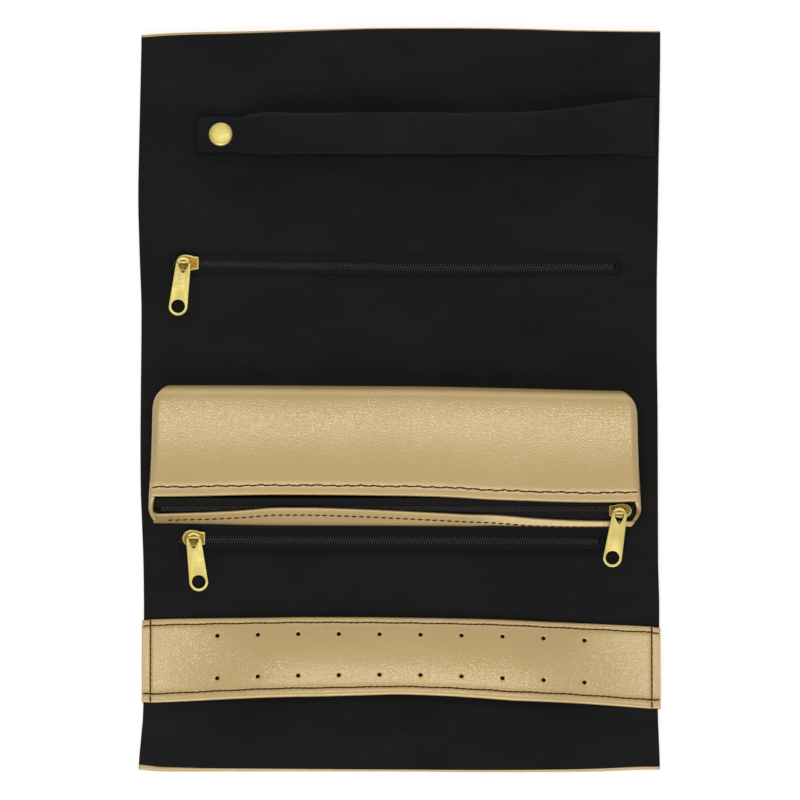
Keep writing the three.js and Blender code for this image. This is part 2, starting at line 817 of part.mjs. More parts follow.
const backingTop = liningTop + stripBackingThickness;
const leatherTop = backingTop + stripThickness;
const stripSheet = archedSheet(-stripHalf, stripHalf, stripWidth, backingTop, leatherTop, stripSections);
const hemTop = backingTop + stripThickness / 2;
const hemLow = archedSheet(-stripHalf, -archHalf, stripWidth, liningTop, hemTop, 1);
const hemHigh = archedSheet(archHalf, stripHalf, stripWidth, liningTop, hemTop, 1);
roll.add(piece('earring_strip', cut(join([stripSheet, hemLow, hemHigh]), postHoles), 'leather'));
const backingHalf = archHalf - softGap;
const backingFace = backingTop - runningGap;
const backing = archedSheet(-backingHalf, backingHalf, stripWidth, liningTop, backingFace, stripSections);
roll.add(piece('earring_strip_backing', cut(backing, postHoles), 'lining'));

export default roll;
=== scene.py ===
"""Looks of a roll-up jewelry case: pale tan pebbled leather outside, black nap lining inside.

The case lies open and flat. From the far end to the near end it carries a padded ring bar held
by a snap, a zipped flat pocket, a leather pouch with a zipped mouth, a second zipped flat pocket
and an arched leather strip pierced for earrings. Lengths are in metres, X runs along the folds,
Y towards the far end and Z up.
"""

from __future__ import annotations

import json
import logging
import math
from dataclasses import dataclass, field
from enum import Enum
from typing import Callable, Iterable, Sequence

import bmesh
import bpy
from mathutils import Matrix, Vector, noise

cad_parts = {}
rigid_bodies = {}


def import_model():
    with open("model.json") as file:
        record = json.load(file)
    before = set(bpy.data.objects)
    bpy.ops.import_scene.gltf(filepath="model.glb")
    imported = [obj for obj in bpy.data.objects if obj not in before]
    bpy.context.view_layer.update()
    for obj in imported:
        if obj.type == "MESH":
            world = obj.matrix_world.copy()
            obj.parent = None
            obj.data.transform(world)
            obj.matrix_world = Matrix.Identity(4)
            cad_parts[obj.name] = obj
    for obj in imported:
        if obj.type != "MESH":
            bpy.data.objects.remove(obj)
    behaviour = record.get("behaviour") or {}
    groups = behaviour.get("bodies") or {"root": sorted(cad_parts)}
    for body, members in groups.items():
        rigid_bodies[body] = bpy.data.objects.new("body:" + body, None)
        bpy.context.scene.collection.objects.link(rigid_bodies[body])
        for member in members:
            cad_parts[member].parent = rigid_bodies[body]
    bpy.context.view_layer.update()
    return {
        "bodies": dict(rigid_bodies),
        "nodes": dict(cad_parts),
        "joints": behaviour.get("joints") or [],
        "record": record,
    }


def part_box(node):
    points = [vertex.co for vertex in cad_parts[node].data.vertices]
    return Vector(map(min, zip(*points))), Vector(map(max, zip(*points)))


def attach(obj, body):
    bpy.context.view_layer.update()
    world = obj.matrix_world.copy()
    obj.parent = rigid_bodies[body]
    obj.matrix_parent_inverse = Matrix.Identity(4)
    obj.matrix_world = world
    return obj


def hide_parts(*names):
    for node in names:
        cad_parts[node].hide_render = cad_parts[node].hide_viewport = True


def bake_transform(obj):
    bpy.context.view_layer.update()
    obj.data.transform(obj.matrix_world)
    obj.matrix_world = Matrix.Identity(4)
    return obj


LOG = logging.getLogger("jewelry_roll")
MM = 0.001
LINING_TOP = 4.5 * MM
POUCH_ZIP_Y = -56.527 * MM
POUCH_ZIP_Z = 10.703 * MM
MERGE_REACH = 0.004 * MM
MOST_NOISE = (0.3, 0.7)
Colour = tuple[float, float, float]
Span = tuple[float, float]
Knots = tuple[tuple[float, float], ...]
Points = Sequence[tuple[float, float]]
Section = list[tuple[float, float]]
Mesh = bmesh.types.BMesh
Piece = bpy.types.Object
Material = bpy.types.Material
Socket = bpy.types.NodeSocket
Place = Callable[[float, float], Vector]
Seam = Callable[[float], tuple[Vector, Vector]]


def in_mm(*pairs: tuple[float, float]) -> Knots:
    """Turns pairs of place and height from millimetres into metres."""
    return tuple((place * MM, height * MM) for place, height in pairs)


def linear(red: int, green: int, blue: int) -> Colour:
    """Turns a colour as seen on a screen, from 0 to 255, into the linear values that shaders take."""

    def straighten(value: int) -> float:
        """Undoes the screen curve for one channel."""
        share = value / 255
        return share / 12.92 if share <= 0.04045 else ((share + 0.055) / 1.055) ** 2.4

    return straighten(red), straighten(green), straighten(blue)


def ease(low: float, high: float, value: float) -> float:
    """Gives 0 below low, 1 above high, and a smooth step between them."""
    share = min(1.0, max(0.0, (value - low) / (high - low)))
    return share * share * (3 - 2 * share)


def arc_share(share: float) -> float:
    """Gives how far a quarter round has turned in, from 0 at its start to 1 at its end."""
    share = min(1.0, max(0.0, share))
    return 1 - math.sqrt(1 - share * share)


def dent(distance: float, width: float) -> float:
    """Gives 1 on a seam and falls away to both of its sides."""
    return math.exp(-((distance / width) ** 2))


def steepness(knots: Points, index: int) -> float:
    """Gives the slope of a curve at one of its knots, level at both ends and at turning points."""
    if index in (0, len(knots) - 1):
        return 0.0
    (first, low), (here, middle), (last, high) = knots[index - 1:index + 2]
    before = (middle - low) / (here - first)
    after = (high - middle) / (last - here)
    return 2 * before * after / (before + after) if before * after > 0 else 0.0


def follow(knots: Points, value: float) -> float:
    """Reads a smooth curve through a few knots, without swinging past them.

    Args:
        knots: Pairs of place and height, in rising order of place.
        value: The place to read.

    Returns:
        The height there, level beyond both ends.
    """
    if value <= knots[0][0]:
        return knots[0][1]
    if value >= knots[-1][0]:
        return knots[-1][1]
    index = next(place for place in range(1, len(knots)) if value <= knots[place][0])
    (start, low), (end, high) = knots[index - 1:index + 1]
    width = end - start
    share = (value - start) / width
    rest = 1 - share
    rising = low * (1 + 2 * share) + steepness(knots, index - 1) * width * share
    settling = high * (1 + 2 * rest) - steepness(knots, index) * width * rest
    return rising * rest ** 2 + settling * share ** 2


def stations(*spans: tuple[float, float, float]) -> list[float]:
    """Lists the lines of a sheet's grid.

    Args:
        spans: Runs of start, end and step, each starting where the last one ends.

    Returns:
        The places of the lines, in order.
    """
    lines = [spans[0][0]]
    for start, end, step in spans:
        count = max(1, round(abs(end - start) / step))
        lines += [start + (end - start) * (index + 1) / count for index in range(count)]
    return lines


def with_marks(lines: Sequence[float], marks: Sequence[float], gap: float = 1.2 * MM) -> list[float]:
    """Sets marks among the lines of a grid and drops the lines that come too close to them."""
    kept = [line for line in lines if all(abs(line - mark) > gap for mark in marks)]
    return sorted(kept + list(marks))


def lattice(columns: int, rows: int, place: Place) -> Mesh:
    """Lays a grid over a surface.

    Args:
        columns: Number of faces across.
        rows: Number of faces along.
        place: Gives the point for each pair of shares, from 0 to 1 across and along.

    Returns:
        The new bmesh.
    """
    mesh = bmesh.new()
    bmesh.ops.create_grid(mesh, x_segments=columns, y_segments=rows, size=0.5)
    for vertex in mesh.verts:
        vertex.co = place(vertex.co.x + 0.5, vertex.co.y + 0.5)
    return mesh


def ruled(across: Sequence[float], along: Sequence[float], place: Place) -> Mesh:
    """Lays a grid whose lines stand at listed places.

    Args:
        across: Places of the lines across.
        along: Places of the lines along.
        place: Gives the point for each place across and along.

    Returns:
        The new bmesh.
    """
    wide = len(across) - 1
    deep = len(along) - 1

    def at_share(u: float, v: float) -> Vector:
        """Finds the line that a share of the grid stands for."""
        return place(across[round(u * wide)], along[round(v * deep)])

    return lattice(wide, deep, at_share)


def merge(mesh: Mesh) -> None:
    """Merges vertices that share a place."""
    bmesh.ops.remove_doubles(mesh, verts=mesh.verts, dist=MERGE_REACH)


def face_outwards(mesh: Mesh) -> None:
    """Turns the faces of closed shells outwards."""
    bmesh.ops.recalc_face_normals(mesh, faces=mesh.faces)


def turn_over(mesh: Mesh) -> None:
    """Turns the good side of a sheet to its other side."""
    bmesh.ops.reverse_faces(mesh, faces=mesh.faces)


def shift(mesh: Mesh, way: Sequence[float]) -> None:
    """Moves a whole bmesh."""
    bmesh.ops.translate(mesh, verts=mesh.verts, vec=way)


def weld(mesh: Mesh) -> None:
    """Merges vertices that share a place and turns the faces outwards."""
    merge(mesh)
    face_outwards(mesh)


def close_tube(mesh: Mesh) -> None:
    """Joins a tube's seam, fills its two ends and turns the faces outwards."""
    merge(mesh)
    bmesh.ops.holes_fill(mesh, edges=[edge for edge in mesh.edges if edge.is_boundary], sides=0)
    face_outwards(mesh)


def doubled(mesh: Mesh) -> list[bmesh.types.BMVert]:
    """Doubles all faces with walls between and gives the vertices of the new layer."""
    layer = bmesh.ops.extrude_face_region(mesh, geom=list(mesh.faces))["geom"]
    return [item for item in layer if isinstance(item, bmesh.types.BMVert)]


def raise_plate(mesh: Mesh, thickness: float) -> Mesh:
    """Gives flat faces a thickness upwards and returns the closed plate."""
    bmesh.ops.translate(mesh, verts=doubled(mesh), vec=(0, 0, thickness))
    weld(mesh)
    return mesh


def spun(profile: Points, centre: Vector, steps: int) -> Mesh:
    """Turns a half section about an upright axis.

    Args:
        profile: Pairs of radius and height that start and end on the axis.
        centre: A point on the axis, from which heights count.
        steps: Number of faces round.

    Returns:
        The new closed bmesh.
    """
    mesh = bmesh.new()
    points = [mesh.verts.new(centre + Vector((radius, 0, height))) for radius, height in profile]
    edges = [mesh.edges.new(pair) for pair in zip(points, points[1:])]
    bmesh.ops.spin(
        mesh, geom=points + edges, cent=centre, axis=(0, 0, 1), angle=2 * math.pi, steps=steps,
        use_merge=True,
    )
    weld(mesh)
    return mesh


def outline_plate(points: Points, thickness: float) -> Mesh:
    """Cuts a flat plate to an outline, standing on the plane, and returns its closed bmesh."""
    mesh = bmesh.new()
    mesh.faces.new([mesh.verts.new((x, y, 0)) for x, y in points])
    return raise_plate(mesh, thickness)


def round_rims(mesh: Mesh, width: float, segments: int, sharpest: float = 50) -> None:
    """Rounds every edge that is sharper than an angle.

    Args:
        mesh: The bmesh to change.
        width: Width of the rounding.
        segments: Number of faces over it.
        sharpest: Angle in degrees above which an edge is rounded.
    """
    edges = [
        edge for edge in mesh.edges
        if edge.is_manifold and edge.calc_face_angle(0) > math.radians(sharpest)
    ]
    bmesh.ops.bevel(
        mesh, geom=edges, offset=width, offset_type="OFFSET", affect="EDGES", segments=segments,
        profile=0.5, material=-1, clamp_overlap=True,
    )


def gathered(parts: Iterable[Mesh]) -> Mesh:
    """Puts several bmeshes into one and frees them."""
    whole = bmesh.new()
    for part in parts:
        scratch = bpy.data.meshes.new("scratch")
        part.to_mesh(scratch)
        part.free()
        whole.from_mesh(scratch)
        bpy.data.meshes.remove(scratch)
    return whole


class Pattern:
    """The nodes of one material, with a few words for the patterns that the finishes share."""

    def __init__(
        self, name: str, colour: Colour, roughness: float, specular: float = 0.5, metallic: float = 0.0
    ) -> None:
        """Starts a material on object coordinates, with the plain values of its surface."""
        self.material = bpy.data.materials.new(name)
        self.material.use_nodes = True
        self.material.diffuse_color = (*colour, 1)
        self.tree = self.material.node_tree
        self.shader = self.tree.nodes["Principled BSDF"]
        self.tune("Base Color", (*colour, 1))
        self.tune("Roughness", roughness)
        self.tune("Specular IOR Level", specular)
        self.tune("Metallic", metallic)
        self.place = self.tree.nodes.new("ShaderNodeTexCoord").outputs["Object"]

    def link(self, source: Socket, node: bpy.types.Node, socket: str | int) -> None:
        """Joins an output to a named or numbered input of a node."""
        self.tree.links.new(source, node.inputs[socket])

    def feed(self, source: Socket, socket: str) -> None:
        """Joins an output to an input of the surface shader."""
        self.link(source, self.shader, socket)

    def tune(self, socket: str, value: float | Sequence[float]) -> None:
        """Sets a plain value of the surface shader."""
        self.shader.inputs[socket].default_value = value

    def node(self, kind: str, **values: object) -> bpy.types.Node:
        """Adds a node of a kind and sets its plain inputs by name."""
        node = self.tree.nodes.new(f"ShaderNode{kind}")
        for socket, value in values.items():
            node.inputs[socket].default_value = value
        return node

    def stretched(self, scale: Sequence[float], turn: float = 0.0) -> Socket:
        """Gives object coordinates scaled along each axis and turned about Z."""
        node = self.node("Mapping", Scale=scale, Rotation=(0, 0, turn))
        self.link(self.place, node, "Vector")
        return node.outputs["Vector"]

    def noise(
        self, scale: float, detail: float = 3.0, roughness: float = 0.55, vector: Socket | None = None,
        distortion: float = 0.0,
    ) -> Socket:
        """Adds soft noise.

        Args:
            scale: Blotches to the metre.
            detail: Octaves of finer noise.
            roughness: Strength of the finer octaves.
            vector: Coordinates, or None for plain object coordinates.
            distortion: How far the blotches are pulled about.

        Returns:
            The noise as a value round one half.
        """
        node = self.node("TexNoise", Scale=scale, Detail=detail, Roughness=roughness, Distortion=distortion)
        self.link(vector or self.place, node, "Vector")
        return node.outputs["Fac"]

    def cells(self, scale: float, vector: Socket, feature: str = "DISTANCE_TO_EDGE") -> Socket:
        """Adds a cell pattern and gives the distance that the feature names."""
        node = self.node("TexVoronoi", Scale=scale)
        node.feature = feature
        self.link(vector, node, "Vector")
        return node.outputs["Distance"]

    def bands(self, scale: float, direction: str, distortion: float = 0.0) -> Socket:
        """Adds even rounded bands across one direction."""
        node = self.node("TexWave", Scale=scale, Distortion=distortion)
        node.wave_type = "BANDS"
        node.bands_direction = direction
        node.wave_profile = "SIN"
        self.link(self.place, node, "Vector")
        return node.outputs["Fac"]

    def ramp(self, value: Socket, *stops: tuple[float, Colour]) -> Socket:
        """Colours a value by stops of place and linear colour."""
        node = self.node("ValToRGB")
        elements = node.color_ramp.elements
        for index, (place, colour) in enumerate(stops):
            element = elements[index] if index < 2 else elements.new(place)
            element.position = place
            element.color = (*colour, 1)
        self.link(value, node, "Fac")
        return node.outputs["Color"]

    def tint(self, value: Socket, *stops: tuple[float, Colour]) -> None:
        """Colours the surface by a pattern."""
        self.feed(self.ramp(value, *stops), "Base Color")

    def gloss(self, value: Socket, target: Span, source: Span = MOST_NOISE) -> None:
        """Lets the roughness follow a pattern."""
        self.feed(self.levels(value, source, target), "Roughness")

    def levels(self, value: Socket, source: Span, target: Span) -> Socket:
        """Stretches a value from one range to another, clamped at both ends."""
        node = self.node("MapRange")
        for socket, number in zip(("From Min", "From Max", "To Min", "To Max"), source + target):
            node.inputs[socket].default_value = number
        self.link(value, node, "Value")
        return node.outputs["Result"]

    def shaded(self, colour: Socket, factor: Socket) -> Socket:
        """Multiplies a colour by a pattern."""
        node = self.node("Mix")
        node.data_type = "RGBA"
        node.blend_type = "MULTIPLY"
        node.inputs["Factor"].default_value = 1
        self.link(colour, node, 6)
        self.link(factor, node, 7)
        return node.outputs[2]

    def combined(self, first: Socket, second: Socket, operation: str = "ADD") -> Socket:
        """Joins two patterns by a sum or another plain operation."""
        node = self.node("Math")
        node.operation = operation
        self.link(first, node, 0)
        self.link(second, node, 1)
        return node.outputs[0]

    def relief(
        self, height: Socket, depth: float, strength: float, under: Socket | None = None,
        socket: str = "Normal",
    ) -> Socket:
        """Turns a pattern into bumps.

        Args:
            height: The pattern, from 0 to 1.
            depth: Height of a full bump in metres.
            strength: Share of the bumps that shows.
            under: Normal of a relief that this one lies on.
            socket: Input of the shader that the bent normal goes to.

        Returns:
            The bent normal, also joined to the shader.
        """
        node = self.node("Bump", Strength=strength, Distance=depth)
        self.link(height, node, "Height")
        if under is not None:
            self.link(under, node, "Normal")
        self.feed(node.outputs["Normal"], socket)
        return node.outputs["Normal"]


@dataclass(frozen=True)
class PebbledLeather:
    """Pale tan leather with a faint pearl sheen and a clear finish over a fine pressed grain."""

    tan: Colour = linear(204, 175, 117)
    deep: Colour = linear(200, 171, 112)
    # Painted shade in the grain's creases, as a share of the base colour.
    crease_shade: float = 0.96
    pebbles: float = 640.0
    finer: float = 2.3
    drawn_along: float = 0.62
    blotches: float = 26.0
    wear: float = 420.0
    depth: float = 0.014 * MM
    pressed: float = 0.75
    roughness: Span = (0.38, 0.45)
    specular: float = 0.1
    pearl: float = 0.28
    clear: float = 0.85
    clear_roughness: float = 0.06
    clear_depth: float = 0.045 * MM

    def material(self) -> Material:
        """Builds the leather's nodes."""
        pattern = Pattern("tan_leather", self.tan, self.roughness[0], self.specular, self.pearl)
        pattern.tune("Coat Weight", self.clear)
        pattern.tune("Coat Roughness", self.clear_roughness)
        drawn = pattern.stretched((self.drawn_along, 1.0, 1.0))
        edges = pattern.cells(self.pebbles, drawn)
        fine = pattern.cells(self.pebbles * self.finer, drawn)
        pebble = pattern.levels(edges, (0.0, 0.3), (0.0, 1.0))
        small = pattern.levels(fine, (0.0, 0.3), (0.0, 0.35))
        grain = pattern.combined(pebble, small)
        colour = pattern.ramp(pattern.noise(self.blotches, 4), (0.34, self.deep), (0.66, self.tan))
        # Painted shade: the base colour darkens in the creases between the pebbles.
        shade = pattern.ramp(grain, (0.0, (self.crease_shade,) * 3), (0.55, (1.0, 1.0, 1.0)))
        pattern.feed(pattern.shaded(colour, shade), "Base Color")
        pattern.gloss(pattern.noise(self.wear), self.roughness, (0.35, 0.7))
        pattern.relief(grain, self.depth, self.pressed)
        pattern.relief(grain, self.clear_depth, self.pressed, socket="Coat Normal")
        return pattern.material


@dataclass(frozen=True)
class CutEdge:
    """The cream fibre that shows where leather is cut."""

    cream: Colour = linear(226, 211, 176)
    shadow: Colour = linear(198, 178, 136)
    roughness: float = 0.7
    fibres: float = 2200.0
    depth: float = 0.06 * MM

    def material(self) -> Material:
        """Builds the cut edge's nodes."""
        pattern = Pattern("leather_edge", self.cream, self.roughness)
        fibre = pattern.noise(self.fibres, 4)
        pattern.tint(fibre, (0.35, self.shadow), (0.62, self.cream))
        pattern.relief(fibre, self.depth, 0.6)
        return pattern.material


@dataclass(frozen=True)
class NapCloth:
    """Matte black lining with a short brushed nap."""

    black: Colour = linear(34, 33, 33)
    lifted: Colour = linear(43, 42, 42)
    roughness: float = 0.95
    specular: float = 0.06
    sheen: float = 0.05
    sheen_roughness: float = 0.45
    strokes: float = 24.0
    stroke_depth: float = 0.4 * MM
    hairs: float = 1500.0
    hair_depth: float = 0.12 * MM

    def material(self) -> Material:
        """Builds the lining's nodes."""
        pattern = Pattern("black_lining", self.black, self.roughness, self.specular)
        pattern.tune("Sheen Weight", self.sheen)
        pattern.tune("Sheen Roughness", self.sheen_roughness)
        brushed = pattern.noise(self.strokes, 5, 0.6, pattern.stretched((0.7, 1.6, 1.0)), 0.4)
        nap = pattern.noise(self.hairs, 4, 0.7)
        mixed = pattern.combined(
            pattern.levels(brushed, MOST_NOISE, (0.0, 0.6)), pattern.levels(nap, MOST_NOISE, (0.0, 0.4)),
        )
        pattern.tint(mixed, (0.2, self.black), (0.85, self.lifted))
        under = pattern.relief(brushed, self.stroke_depth, 0.25)
        pattern.relief(nap, self.hair_depth, 0.6, under)
        return pattern.material


@dataclass(frozen=True)
class Foam:
    """Grey foam sheet between the leather and the lining."""

    grey: Colour = linear(92, 90, 87)
    pore: Colour = linear(58, 57, 56)
    roughness: float = 0.95
    pores: float = 1400.0
    depth: float = 0.25 * MM

    def material(self) -> Material:
        """Builds the foam's nodes."""
        pattern = Pattern("foam", self.grey, self.roughness)
        pores = pattern.cells(self.pores, pattern.place, "F1")
        pattern.tint(pores, (0.1, self.pore), (0.5, self.grey))
        pattern.relief(pores, self.depth, 0.6)
        return pattern.material


@dataclass(frozen=True)
class WovenTape:
    """Black zip tape in a fine rib weave."""

    black: Colour = linear(28, 27, 27)
    ridge: Colour = linear(40, 39, 39)
    roughness: float = 0.8
    specular: float = 0.1
    ribs: float = 230.0
    warp: float = 330.0
    depth: float = 0.16 * MM

    def material(self) -> Material:
        """Builds the tape's nodes."""
        pattern = Pattern("zip_tape", self.black, self.roughness, self.specular)
        ribs = pattern.bands(self.ribs, "X")
        weave = pattern.combined(ribs, pattern.bands(self.warp, "Y", 0.4), "MULTIPLY")
        pattern.tint(weave, (0.1, self.black), (0.9, self.ridge))
        pattern.relief(weave, self.depth, 0.8)
        return pattern.material


@dataclass(frozen=True)
class Nylon:
    """Black nylon of the zip coils."""

    black: Colour = linear(78, 77, 76)
    worn: float = 0.6
    roughness: float = 0.34
    specular: float = 0.45
    wear: float = 900.0

    def material(self) -> Material:
        """Builds the nylon's nodes."""
        pattern = Pattern("zip_coil", self.black, self.roughness, self.specular)
        wear = pattern.noise(self.wear)
        dull = tuple(self.worn * value for value in self.black)
        pattern.tint(wear, (0.35, dull), (0.65, self.black))
        pattern.gloss(wear, (0.26, 0.44))
        return pattern.material


@dataclass(frozen=True)
class PaleGold:
    """Pale gold plating, polished, with faint wiping marks."""

    gold: Colour = (0.46, 0.375, 0.115)
    pale: Colour = (0.52, 0.44, 0.155)
    roughness: Span = (0.34, 0.48)
    clouds: float = 140.0
    marks: float = 900.0
    depth: float = 0.012 * MM

    def material(self) -> Material:
        """Builds the plating's nodes."""
        pattern = Pattern("pale_gold", self.gold, self.roughness[0], metallic=1.0)
        wiped = pattern.noise(self.marks, 4, 0.6, pattern.stretched((0.25, 1.0, 1.0), 0.9))
        pattern.tint(pattern.noise(self.clouds), (0.35, self.gold), (0.65, self.pale))
        pattern.gloss(wiped, self.roughness)
        pattern.relief(wiped, self.depth, 0.4)
        return pattern.material


@dataclass(frozen=True)
class ShadedGold:
    """Darker amber gold for the slider's dished recess, as painted shade and painted reflection of dark
    surroundings.
    """

    amber: Colour = (0.42, 0.25, 0.045)
    brown: Colour = (0.22, 0.12, 0.02)
    plain_roughness: float = 0.5
    roughness: Span = (0.38, 0.6)
    grains: float = 700.0
    depth: float = 0.05 * MM

    def material(self) -> Material:
        """Builds the recess's nodes."""
        pattern = Pattern("shaded_gold", self.amber, self.plain_roughness, metallic=1.0)
        # Painted shade: the recess is mottled between brown and amber.
        recess_shade_mottle = pattern.noise(self.grains, 4)
        pattern.tint(recess_shade_mottle, (0.35, self.brown), (0.65, self.amber))
        pattern.gloss(recess_shade_mottle, self.roughness)
        pattern.relief(recess_shade_mottle, self.depth, 0.5)
        return pattern.material


@dataclass(frozen=True)
class Thread:
    """Dark brown twisted sewing thread."""

    dark: Colour = linear(60, 36, 13)
    light: Colour = linear(94, 60, 24)
    roughness: float = 0.7
    specular: float = 0.15
    twist: float = 900.0
    depth: float = 0.06 * MM

    def material(self) -> Material:
        """Builds the thread's nodes."""
        pattern = Pattern("brown_thread", self.dark, self.roughness, self.specular)
        ply = pattern.bands(self.twist, "DIAGONAL")
        pattern.tint(ply, (0.2, self.dark), (0.9, self.light))
        pattern.relief(ply, self.depth, 0.7)
        return pattern.material


@dataclass(frozen=True)
class DullSteel:
    """Plain nickelled steel of the hidden magnets."""

    grey: Colour = linear(150, 150, 148)
    plain_roughness: float = 0.4
    roughness: Span = (0.3, 0.5)
    stains: float = 300.0
    depth: float = 0.02 * MM

    def material(self) -> Material:
        """Builds the steel's nodes."""
        pattern = Pattern("dull_steel", self.grey, self.plain_roughness, metallic=1.0)
        stain = pattern.noise(self.stains)
        pattern.gloss(stain, self.roughness)
        pattern.relief(stain, self.depth, 0.4)
        return pattern.material


class Finish(Enum):
    """The finishes of the case, with the material slot that each one stands for."""

    LEATHER = "leather"
    EDGE = "leather_edge"
    LINING = "lining"
    FOAM = "padding"
    TAPE = "tape"
    COIL = "coil"
    GOLD = "gold"
    # Darker gold with painted shade and painted reflection, for the slider's dished recess.
    RECESS = "gold_recess"
    STEEL = "magnet"
    THREAD = "thread"


RECIPES = {
    Finish.LEATHER: PebbledLeather(),
    Finish.EDGE: CutEdge(),
    Finish.LINING: NapCloth(),
    Finish.FOAM: Foam(),
    Finish.TAPE: WovenTape(),
    Finish.COIL: Nylon(),
    Finish.GOLD: PaleGold(),
    Finish.STEEL: DullSteel(),
    Finish.RECESS: ShadedGold(),
    Finish.THREAD: Thread(),
}


class Workbench:
    """Makes finished objects and keeps one material for each finish."""

    def __init__(self) -> None:
        """Starts with no material made."""
        self.materials: dict[Finish, Material] = {}

    def material(self, finish: Finish) -> Material:
        """Gives the material of a finish, making it the first time."""
        if finish not in self.materials:
            self.materials[finish] = RECIPES[finish].material()
        return self.materials[finish]

    def emit(
        self, name: str, mesh: Mesh, *finishes: Finish, sharp: float = 40.0, slot: str | None = None,
    ) -> Piece:
        """Turns a bmesh into an object of the scene.

        Args:
            name: Name of the piece.
            mesh: Its bmesh, which is freed.
            finishes: Its finishes, in order of material index.
            sharp: Angle in degrees above which an edge stays sharp in shading.
            slot: Material slot of the piece, or None for that of its first finish. Not used.

        Returns:
            The new object, at the origin.
        """
        for edge in mesh.edges:
            edge.smooth = edge.calc_face_angle(0) < math.radians(sharp)
        for face in mesh.faces:
            face.smooth = True
        data = bpy.data.meshes.new(name)
        mesh.to_mesh(data)
        mesh.free()
        for finish in finishes:
            data.materials.append(self.material(finish))
        piece = bpy.data.objects.new(name, data)
        bpy.context.scene.collection.objects.link(piece)
        LOG.info("%s: %d faces", name, len(data.polygons))
        return piece


def thicken(piece: Piece, thickness: float, rim: int = 0, inside: int = 0, offset: float = -1.0) -> None:
    """Gives a sheet its thickness.

    Args:
        piece: The sheet, with faces towards its good side.
        thickness: Thickness to add.
        rim: Material index step of the cut rim.
        inside: Material index step of the back face.
        offset: Side that the thickness goes to, -1 for behind the faces.
    """
    solid = piece.modifiers.new("thickness", "SOLIDIFY")
    solid.thickness = thickness
    solid.offset = offset
    solid.material_offset = inside
    solid.material_offset_rim = rim


def refine(piece: Piece, levels: int = 1) -> None:
    """Smooths a piece by subdivision."""
    smooth = piece.modifiers.new("smooth", "SUBSURF")
    smooth.levels = levels
    smooth.render_levels = levels


def sew(path: Seam, count: int, length: float, width: float, slant: float = 5.0) -> Mesh:
    """Lays a row of stitches along a line.

    Args:
        path: Gives the point and the outward direction at a share of the line.
        count: Number of stitches.
        length: Length of one stitch.
        width: Width of the thread.
        slant: Angle in degrees by which each stitch leans off the line.

    Returns:
        The stitches in one bmesh, each a slim six-sided grain half sunk in the surface.
    """
    mesh = bmesh.new()
    for index in range(count):
        share = (index + 0.5) / count
        point, up = path(share)
        nudge = 0.2 / count
        along = (path(min(1, share + nudge))[0] - path(max(0, share - nudge))[0]).normalized()
        side = up.cross(along).normalized()
        lean = math.radians(slant)
        forward = along * math.cos(lean) + side * math.sin(lean)
        across = up.cross(forward).normalized()
        frame = Matrix((forward * length / 2, across * width / 2, up * width / 2)).transposed()
        laid = Matrix.Translation(point + up * width * 0.12) @ frame.to_4x4()
        turned = laid @ Matrix.Rotation(math.pi / 2, 4, "Y")
        bmesh.ops.create_uvsphere(mesh, u_segments=6, v_segments=5, radius=1, matrix=turned)
    face_outwards(mesh)
    return mesh


@dataclass(frozen=True)
class Fold:
    """One fold of the case: the two panels that it joins and the stretch of sheet over it."""

    name: str
    near_body: str
    far_body: str
    nodes: tuple[str, ...]
    y: float
    reach: float
    low: float
    high: float
    split: float = 0.12 * MM
    step: float = 6 * MM

    def bend(self, piece: Piece) -> None:
        """Bakes a piece's placement into its mesh; the piece does not turn with the panels."""
        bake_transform(piece)

    def lines(self, low: float, high: float, *marks: float) -> list[float]:
        """Lists grid lines along the stretch, close together over the fold.

        Args:
            low: First line.
            high: Last line.
            marks: Further lines that the grid needs.

        Returns:
            The lines in rising order.
        """
        start = self.y - self.reach
        end = self.y + self.reach
        plain = stations(
            (low, low + self.split, self.split), (low + self.split, start, self.step),
            (start, end, self.reach / 6), (end, high - self.split, self.step),
            (high - self.split, high, self.split),
        )
        return with_marks(plain, marks)


@dataclass(frozen=True)
class Outline:
    """The case's outline, with the slight sway that sewn edges take."""

    half_width: float = 126.5 * MM
    end: float = 185 * MM
    end_sway_start: float = 165 * MM
    left_sway: Knots = in_mm(
        (-185, 1), (-168, -0.2), (-156, -1.1), (-108, -1.3), (-84, -1), (-60, -0.1), (-45, 0.5),
        (-20, 0.7), (42, 0.4), (72, 1.4), (102, 2.2), (130, 1.8), (156, 1.3), (182, 0.9),
    )
    right_sway: Knots = in_mm(
        (-185, 0.3), (-168, -0.2), (-156, -0.6), (-104, 0.3), (-80, -0.2), (-10, -0.2), (24, -0.5),
        (55, -0.4), (84, 0.1), (120, 0.7), (144, 1.2), (182, 1.7),
    )
    far_sway: Knots = in_mm(
        (-126.5, -1.9), (-115, -1.1), (-100, -0.5), (-79, -0.1), (-56, 0.5), (-32, 1.2), (-9, 1.7),
        (27, 1.8), (62, 1.3), (85, 0.6), (105, 0.3), (126.5, 0.1),
    )
    near_sway: Knots = in_mm(
        (-126.5, -0.3), (-115, 0.6), (-60, 0.5), (0, 0.6), (45, 0.9), (80, 0.8), (97, 0.5), (121, -0.3),
    )

    def fit(self, point: Vector) -> Vector:
        """Moves a point of the plain rectangle to the swayed outline."""
        share = min(1.0, abs(point.x) / self.half_width) ** 6
        sway = follow(self.left_sway if point.x < 0 else self.right_sway, point.y)
        x = point.x + math.copysign(share, point.x) * sway
        far = ease(self.end_sway_start, self.end, point.y) * follow(self.far_sway, point.x)
        near = ease(self.end_sway_start, self.end, -point.y) * follow(self.near_sway, point.x)
        return Vector((x, point.y + far - near, point.z))


